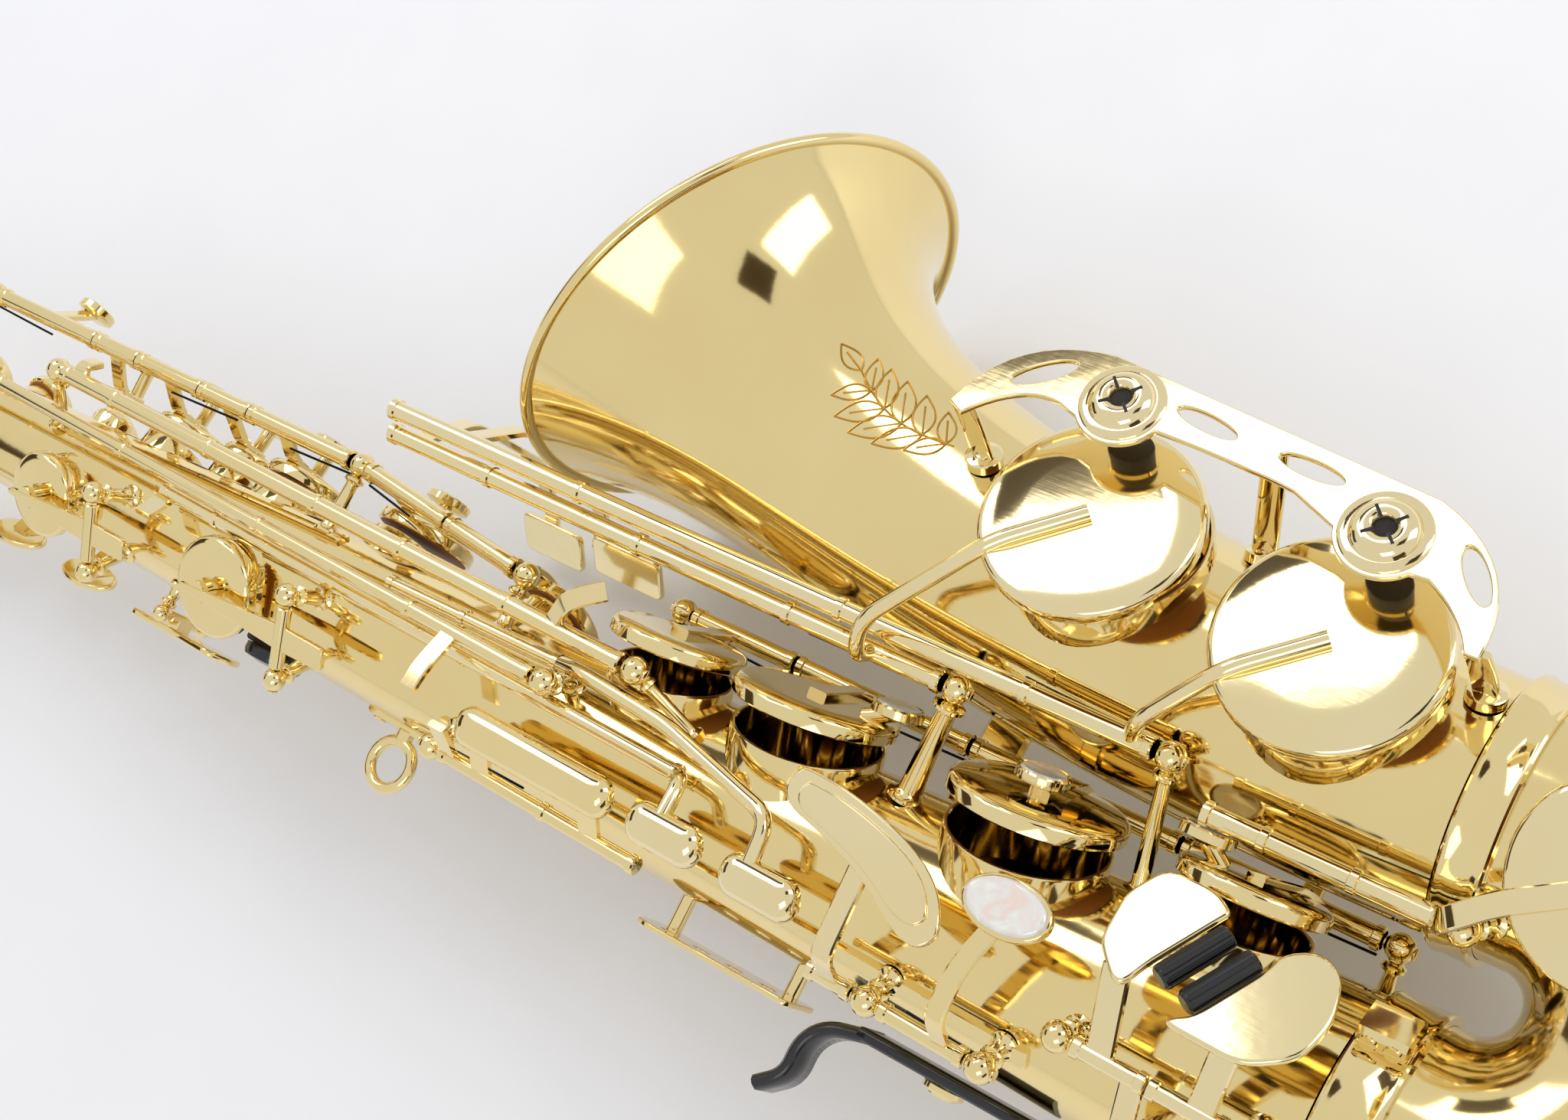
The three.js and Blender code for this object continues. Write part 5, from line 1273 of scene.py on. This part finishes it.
def bell_key(name, line_name, x0, x1, hole, arm, angle, touch, collars):
    line = LINES[line_name]
    sign = lift_sign(line, cup_top(hole), hole_normal(hole))
    normal = hole_normal(hole)
    centre = cup_top(hole, 0.9)
    towards = arm[-1] - centre
    towards -= normal * towards.dot(normal)
    edge = centre + towards.normalized() * (hole_size(hole) - 1)
    stem = bent_rod([*arm, edge, centre], 1.9, 5, 20)
    dome = cup_over(hole)
    metal = [hinge_tube(line, x0, x1, ROD_R, collars), stem, dome, touch]
    key(name.replace("_", " "), name, line, metal, sign * angle, [pad_over(hole)], material=BRIGHTENED_CUP_LACQUER)


def table_touch(x, y, z, half, length):
    n = V(0, y, z).normalized()
    shape = eased([(-half, -length), (half, -length), (half + 1, length), (-half + 1, length)], 2.4)
    return plate([shape], 2, V(x, y, z), X, n.cross(X).normalized(), 0.6)


def lever(line_name, x, reach):
    return bent_bar([along(LINES[line_name], x), V(x, reach, 6), V(x, reach - 5, -28), V(x, 38, -43),
        V(x, 32, -45)])


def make_bell_keys():
    bell_key("low_b_key", "low_b", 212 + END, 394 - END, "low_b",
        [V(371, 47, 25), V(371, 45, 33), V(373, 54, 40)], 10,
             [lever("low_b", 224, 56), table_touch(226, 30, -44, 11, 6)], (250, 300, 346))
    bell_key("low_b_flat_key", "low_b_flat", 212 + END, 446.5 - END, "low_b_flat",
        [V(437, 52.4, 29), V(439, 57, 36)], 11,
             [lever("low_b_flat", 241, 59), table_touch(252, 30, -44, 12.5, 6)], (280, 360, 410))
    line = LINES["low_c"]
    centre = low_c_centre()
    top = V(centre.x, centre.y, BODY_END_R + HOLE_RISE + GAP)
    r = LOW_C_R + 3
    arm = bent_bar([along(line, 508), V(511, 46, 35), V(520, 54, 38.5), top + Z * (CUP_HEIGHT + 0.4)], 5,
        2, Z)
    pad = turned([(0, -0.2), (r - 1.4, -0.2), (r - 0.7, 0.2), (r - 0.6, PAD_THICK), (0, PAD_THICK)], top,
        Z, 48)
    metal = [hinge_tube(line, 453 + END, 514 - END, ROD_R, (470, 490)), cup(top, Z, r), arm]
    key("low C cup", "low_c_cup", line, metal, 12, [pad], material=BRIGHTENED_CUP_LACQUER)


def make_left_table():
    line = LINES["c_sharp"]
    metal = [hinge_tube(line, 306.6 + BALL_R, 490 - END, ROD_R, (340, 400, 440)), cup_over("c_sharp"),
             arm_to_cup(along(line, 466), "c_sharp", [V(466, 38, -44), V(466, 64, -44)])]
    key("low c sharp cup", "low_c_sharp_cup", line, metal, pads=[pad_over("c_sharp")])
    line = LINES["table_left"]
    metal = [hinge_tube(line, 266, 300, THIN_R), bent_bar([along(line, 284), V(284, -5, -43)], ARM_T,
        ARM_W + 1),
             table_touch(284, -5, -42, 14, 6)]
    key("low c sharp touch", "low_c_sharp_touch", line, metal)
    metal = [hinge_tube(line, 218 + END, 265, THIN_R), bent_bar([along(line, 244), V(244, 14.1, -43.6)],
        ARM_T, ARM_W + 1),
             table_touch(244, 14, -42.5, 20, 5)]
    key("g sharp touch", "g_sharp_touch", line, metal)
    for name, x0, x1, hole, touch_x in [
        ("palm_f_key", 10 + END, 40, "palm_f", 22),
        ("palm_e_flat_key", 40.5, 70, "palm_e_flat", 58),
        ("palm_d_key", 70.5, 108 - END, "palm_d", 92),
    ]:
        back = on_body(touch_x, 21, -138)
        v = facing(-138).cross(X).normalized()
        x = HOLES[hole][0]
        touch = [bent_bar([along(LINES["palm"], touch_x), on_body(touch_x, 19, -112), back], ARM_T,
            ARM_W + 1),
                 plate([oval(11, 6)], 2.2, back, X, v, 0.9)]
        stack_key(name, "palm", x0, x1, hole, x, 10, False, via=[on_body(x, 9.6, -74), on_body(x, 10, -60)],
                  radius=THIN_R, extra=touch)


make_springs()
make_stacks()
make_side_keys()
make_back_touches()
make_right_table()
make_bell_keys()
make_left_table()


# ---------- octave lever, neck and mouthpiece ----------
def make_octave_lever():
    a, b = OCTAVE - Z * 5.6, OCTAVE + Z * 5.6
    leaf = eased([(-16, -4.5), (6, -4.5), (20, -8), (24, 0), (20, 8), (6, 4.5), (-16, 4.5)], 3)
    metal = [rod(a, b, 1.8), plate([leaf], 2, OCTAVE + V(0, -2.6, 0), X, Z, 0.7),
        bent_bar([OCTAVE, OCTAVE + V(0, -3, 0)], 6, 4, X)]
    key("octave thumb lever", "octave_thumb_lever", (a, b), metal)


NECK_R_END = 6.4
neck_axis = Path(
    through([V(-1, 0, 0), V(-30, 0, 0), V(-62, -4, 0), V(-92, -22, 0), V(-108, -54, 0), V(-114, -92, 0),
        V(-118, -128, 0)])
)


def neck_radius(share):
    start = NECK_BORE_R - 0.6
    return start + (NECK_R_END - start) * min(1, share * 1.2)


def make_neck():
    end, run = neck_axis.at(1), neck_axis.heading(0.995)
    hinge_at = 0.34
    away = neck_axis.heading(hinge_at).cross(Z).normalized() * -1
    pivot = neck_axis.at(hinge_at) + away * (neck_radius(hinge_at) + 4)
    posts = []
    for side in (-1, 1):
        foot = neck_axis.at(hinge_at) + away * (neck_radius(hinge_at) - 3) + Z * side * 6
        posts += [rod(foot, pivot + Z * side * 8, 1.6), ball(pivot + Z * side * 8, 2.2)]
    tube = hollow(neck_axis, neck_radius, 70, 64)
    bead = turned([(NECK_BORE_R - 0.8, -1), (NECK_BORE_R + 0.7, -0.6), (NECK_BORE_R + 0.7, 0.6),
        (NECK_BORE_R - 0.8, 1), (NECK_BORE_R - 0.8, -1)],
                  neck_axis.at(0.1), neck_axis.heading(0.1), 48)
    piece("neck", [tube, posts, bead], BODY_LACQUER, "neck", stands_for=["neck_tube"])
    cork = [(NECK_R_END - 0.1, 0), (NECK_R_END + 1.2, 0.3), (NECK_R_END + 1.6, 2), (NECK_R_END + 1.5, 24),
        (NECK_R_END - 0.1, 24), (NECK_R_END - 0.1, 0)]
    piece("neck cork", [turned(cork, end - run * 25, run, 48)], CORK, "neck",
        stands_for=["neck_cork"])
    make_mouthpiece(end - run * 20, run)
    marks = [0.16, 0.24, hinge_at, 0.46, 0.58, 0.68]
    path = []
    for t in marks:
        out = neck_axis.heading(t).cross(Z).normalized() * -1
        path.append(neck_axis.at(t) + out * (neck_radius(t) + 4.2))
    a, b = pivot - Z * 5, pivot + Z * 5
    key("neck octave key", "neck_octave_key", (a, b), [rod(a, b, 1.8), bent_bar(path, 1.8, 6, Z, 8)])


def make_mouthpiece(base, run):
    up = run.cross(Z).normalized()
    side = run.cross(up)
    long = MOUTHPIECE_LENGTH
    r0 = MOUTHPIECE_R
    bore_r = NECK_R_END + 2
    rings = []
    for i in range(61):
        h = long * i / 60
        r = r0 + 0.6 * math.exp(-((h - 4) ** 2) / 6) - 2 * max(0, h - 8) / (long - 8)
        roof = r if h < 46 else r - (r + 5.4) * ((h - 46) / (long - 46)) ** 1.15
        under = r if h < 30 else r - min(1, (h - 30) / 2) * (3.6 + 0.8 * (h - 30) / (long - 30))
        ring_points = []
        for a in turns(64):
            p, q = r * math.cos(a), r * math.sin(a)
            ring_points.append(base + run * h + side * p + up * min(max(q, -under), roof))
        rings.append(ring_points)
    shell = skin(rings)
    made = piece("mouthpiece", [shell], EBONITE, "neck", stands_for=["mouthpiece"],
                 holes=[(base - run * 2, base + run * 44, bore_r)], sharp=40)
    reed = []
    for i in range(21):
        h = 34 + 52 * i / 20
        low = -r0 + 0.8 + max(0, h - 58) * 0.085
        high = -r0 + 3.4 + (h - 34) * 0.012
        half = 6.3
        reed.append([base + run * h + side * s + up * z for s, z in
                     ((-half, high), (half, high), (half, low + 0.5), (half * 0.6, low),
                         (-half * 0.6, low), (-half, low + 0.5))])
    piece("reed", [skin(reed)], CANE, "neck", stands_for=["reed"])
    lig = r0 + 1.5
    bands = [turned([(lig, h), (lig + 0.9, h), (lig + 0.9, h + 6), (lig, h + 6), (lig, h)],
        base + run * 36, run, 64) for h in (0, 12)]
    bridge = [bent_bar([base + run * 36.5 + d, base + run * 53.5 + d], 4, 1.2,
        d) for d in (up * (lig + 0.5), side * (lig + 0.5), -side * (lig + 0.5))]
    screws = []
    for h in (39, 51):
        spot = base + run * h - up * (lig + 0.4)
        screws += [rod(spot - side * 5, spot + side * 7, 1), turned([(0, 0), (2.6, 0), (3, 0.4), (3, 3.6),
            (2.6, 4), (0, 4)], spot + side * 6, side, 20)]
    piece("ligature", [bands, bridge, screws], BRIGHTENED_CUP_LACQUER, "neck", stands_for=["ligature"])
    return made


def make_neck_screw():
    spot = V(-5, -BODY_R0 - 5, 12.6)
    stem = [(0, 0), (2, 0), (2, 4), (4.2, 5), (4.4, 5.4), (4.4, 7.6), (4, 8), (0, 8)]
    wing = plate([oval(6, 3)], 2.4, spot + V(0, 1.2, 3), X, Z, 0.8)
    piece("neck screw", [turned(stem, spot - Z * 6.8, Z, 32), wing], KEY_LACQUER, "neck_screw",
        stands_for=["neck_screw"])


make_octave_lever()
make_neck()
make_neck_screw()


# ---------- the table, the light and the camera ----------
def card(name, size, place, aim, material):
    mesh = bpy.data.meshes.new(name)
    w, h = size[0] / 2, size[1] / 2
    mesh.from_pydata([(-w, -h, 0), (w, -h, 0), (w, h, 0), (-w, h, 0)], [], [(0, 1, 2, 3)])
    mesh.materials.append(material)
    made = bpy.data.objects.new(name, mesh)
    made.location = place
    made.rotation_euler = (Vector(aim) - Vector(place)).to_track_quat("Z", "Y").to_euler()
    bpy.context.scene.collection.objects.link(made)
    return made


def lamp(name, place, aim, size, power, tint):
    light = bpy.data.lights.new(name, "AREA")
    light.shape = "RECTANGLE"
    light.size, light.size_y = size
    light.energy = power
    light.color = colour(tint)[:3]
    made = bpy.data.objects.new(name, light)
    made.location = place
    made.rotation_euler = (Vector(aim) - Vector(place)).to_track_quat("-Z", "Y").to_euler()
    bpy.context.scene.collection.objects.link(made)


def set_stage():
    paper = grained("matt white paper sweep", "#F1F1F3", "#EDEDF0", 40, 0.6, relief=0.0)
    card("table", (6, 6), (0, 0, -0.0004), (0, 0, 1), paper)
    # Dark umber cards seen only in reflections: painted shade that stands for the unlit room mirrored in the
    # gold.
    dark = grained("umber card for reflected room shade", "#4A3A22", "#3A2D1A", 60, 0.9, relief=0.0)
    for name, size, place in [
        ("shade card behind camera", (0.5, 0.5), (0.9, 0.55, 1.5)),
        ("shade card on the left", (0.8, 0.5), (-1.3, -0.2, 0.55)),
        ("shade card on the right", (0.8, 0.4), (1.4, -0.6, 0.35)),
        ("shade card above the bell", (0.5, 0.3), (-0.5, 0.9, 0.9)),
    ]:
        made = card(name, size, place, (0, 0, 0), dark)
        made.visible_camera = False
        made.visible_shadow = False
        made.visible_diffuse = False
    world = bpy.data.worlds.new("white tent")
    bpy.context.scene.world = world
    world.use_nodes = True
    world.node_tree.nodes["Background"].inputs["Color"].default_value = colour("#F4F5F8")
    world.node_tree.nodes["Background"].inputs["Strength"].default_value = 0.86
    lamp("window light", (-0.7, 0.9, 1.3), (0, 0.05, 0), (1.2, 0.8), 7, "#FFFFFF")
    lamp("fill light", (0.9, -0.9, 1.2), (0.05, 0, 0), (0.9, 0.6), 3, "#FFF9F0")
    lamp("rim light", (1.1, 0.9, 0.7), (0.1, 0.05, 0), (0.5, 0.9), 3, "#FFFFFF")
    bpy.context.scene.view_settings.view_transform = "Standard"


def set_camera():
    """The eye, its right, its down and its forward directions in the drawing's own axes."""
    eye = V(603.034, 14.152, 476.026)
    right = V(0.79052, 0.44654, -0.41914)
    down = V(0.34926, -0.89089, -0.29041)
    ahead = V(-0.50309, 0.08318, -0.86022)
    lens = bpy.data.cameras.new("camera")
    lens.sensor_width = 36
    lens.lens = 51.33
    lens.clip_start = 0.01
    made = bpy.data.objects.new("camera", lens)
    turn = PLACE.to_3x3().normalized() @ Matrix((right, -down, -ahead)).transposed()
    made.matrix_world = Matrix.Translation(PLACE @ eye) @ turn.to_4x4()
    bpy.context.scene.collection.objects.link(made)
    bpy.context.scene.camera = made


set_stage()
set_camera()
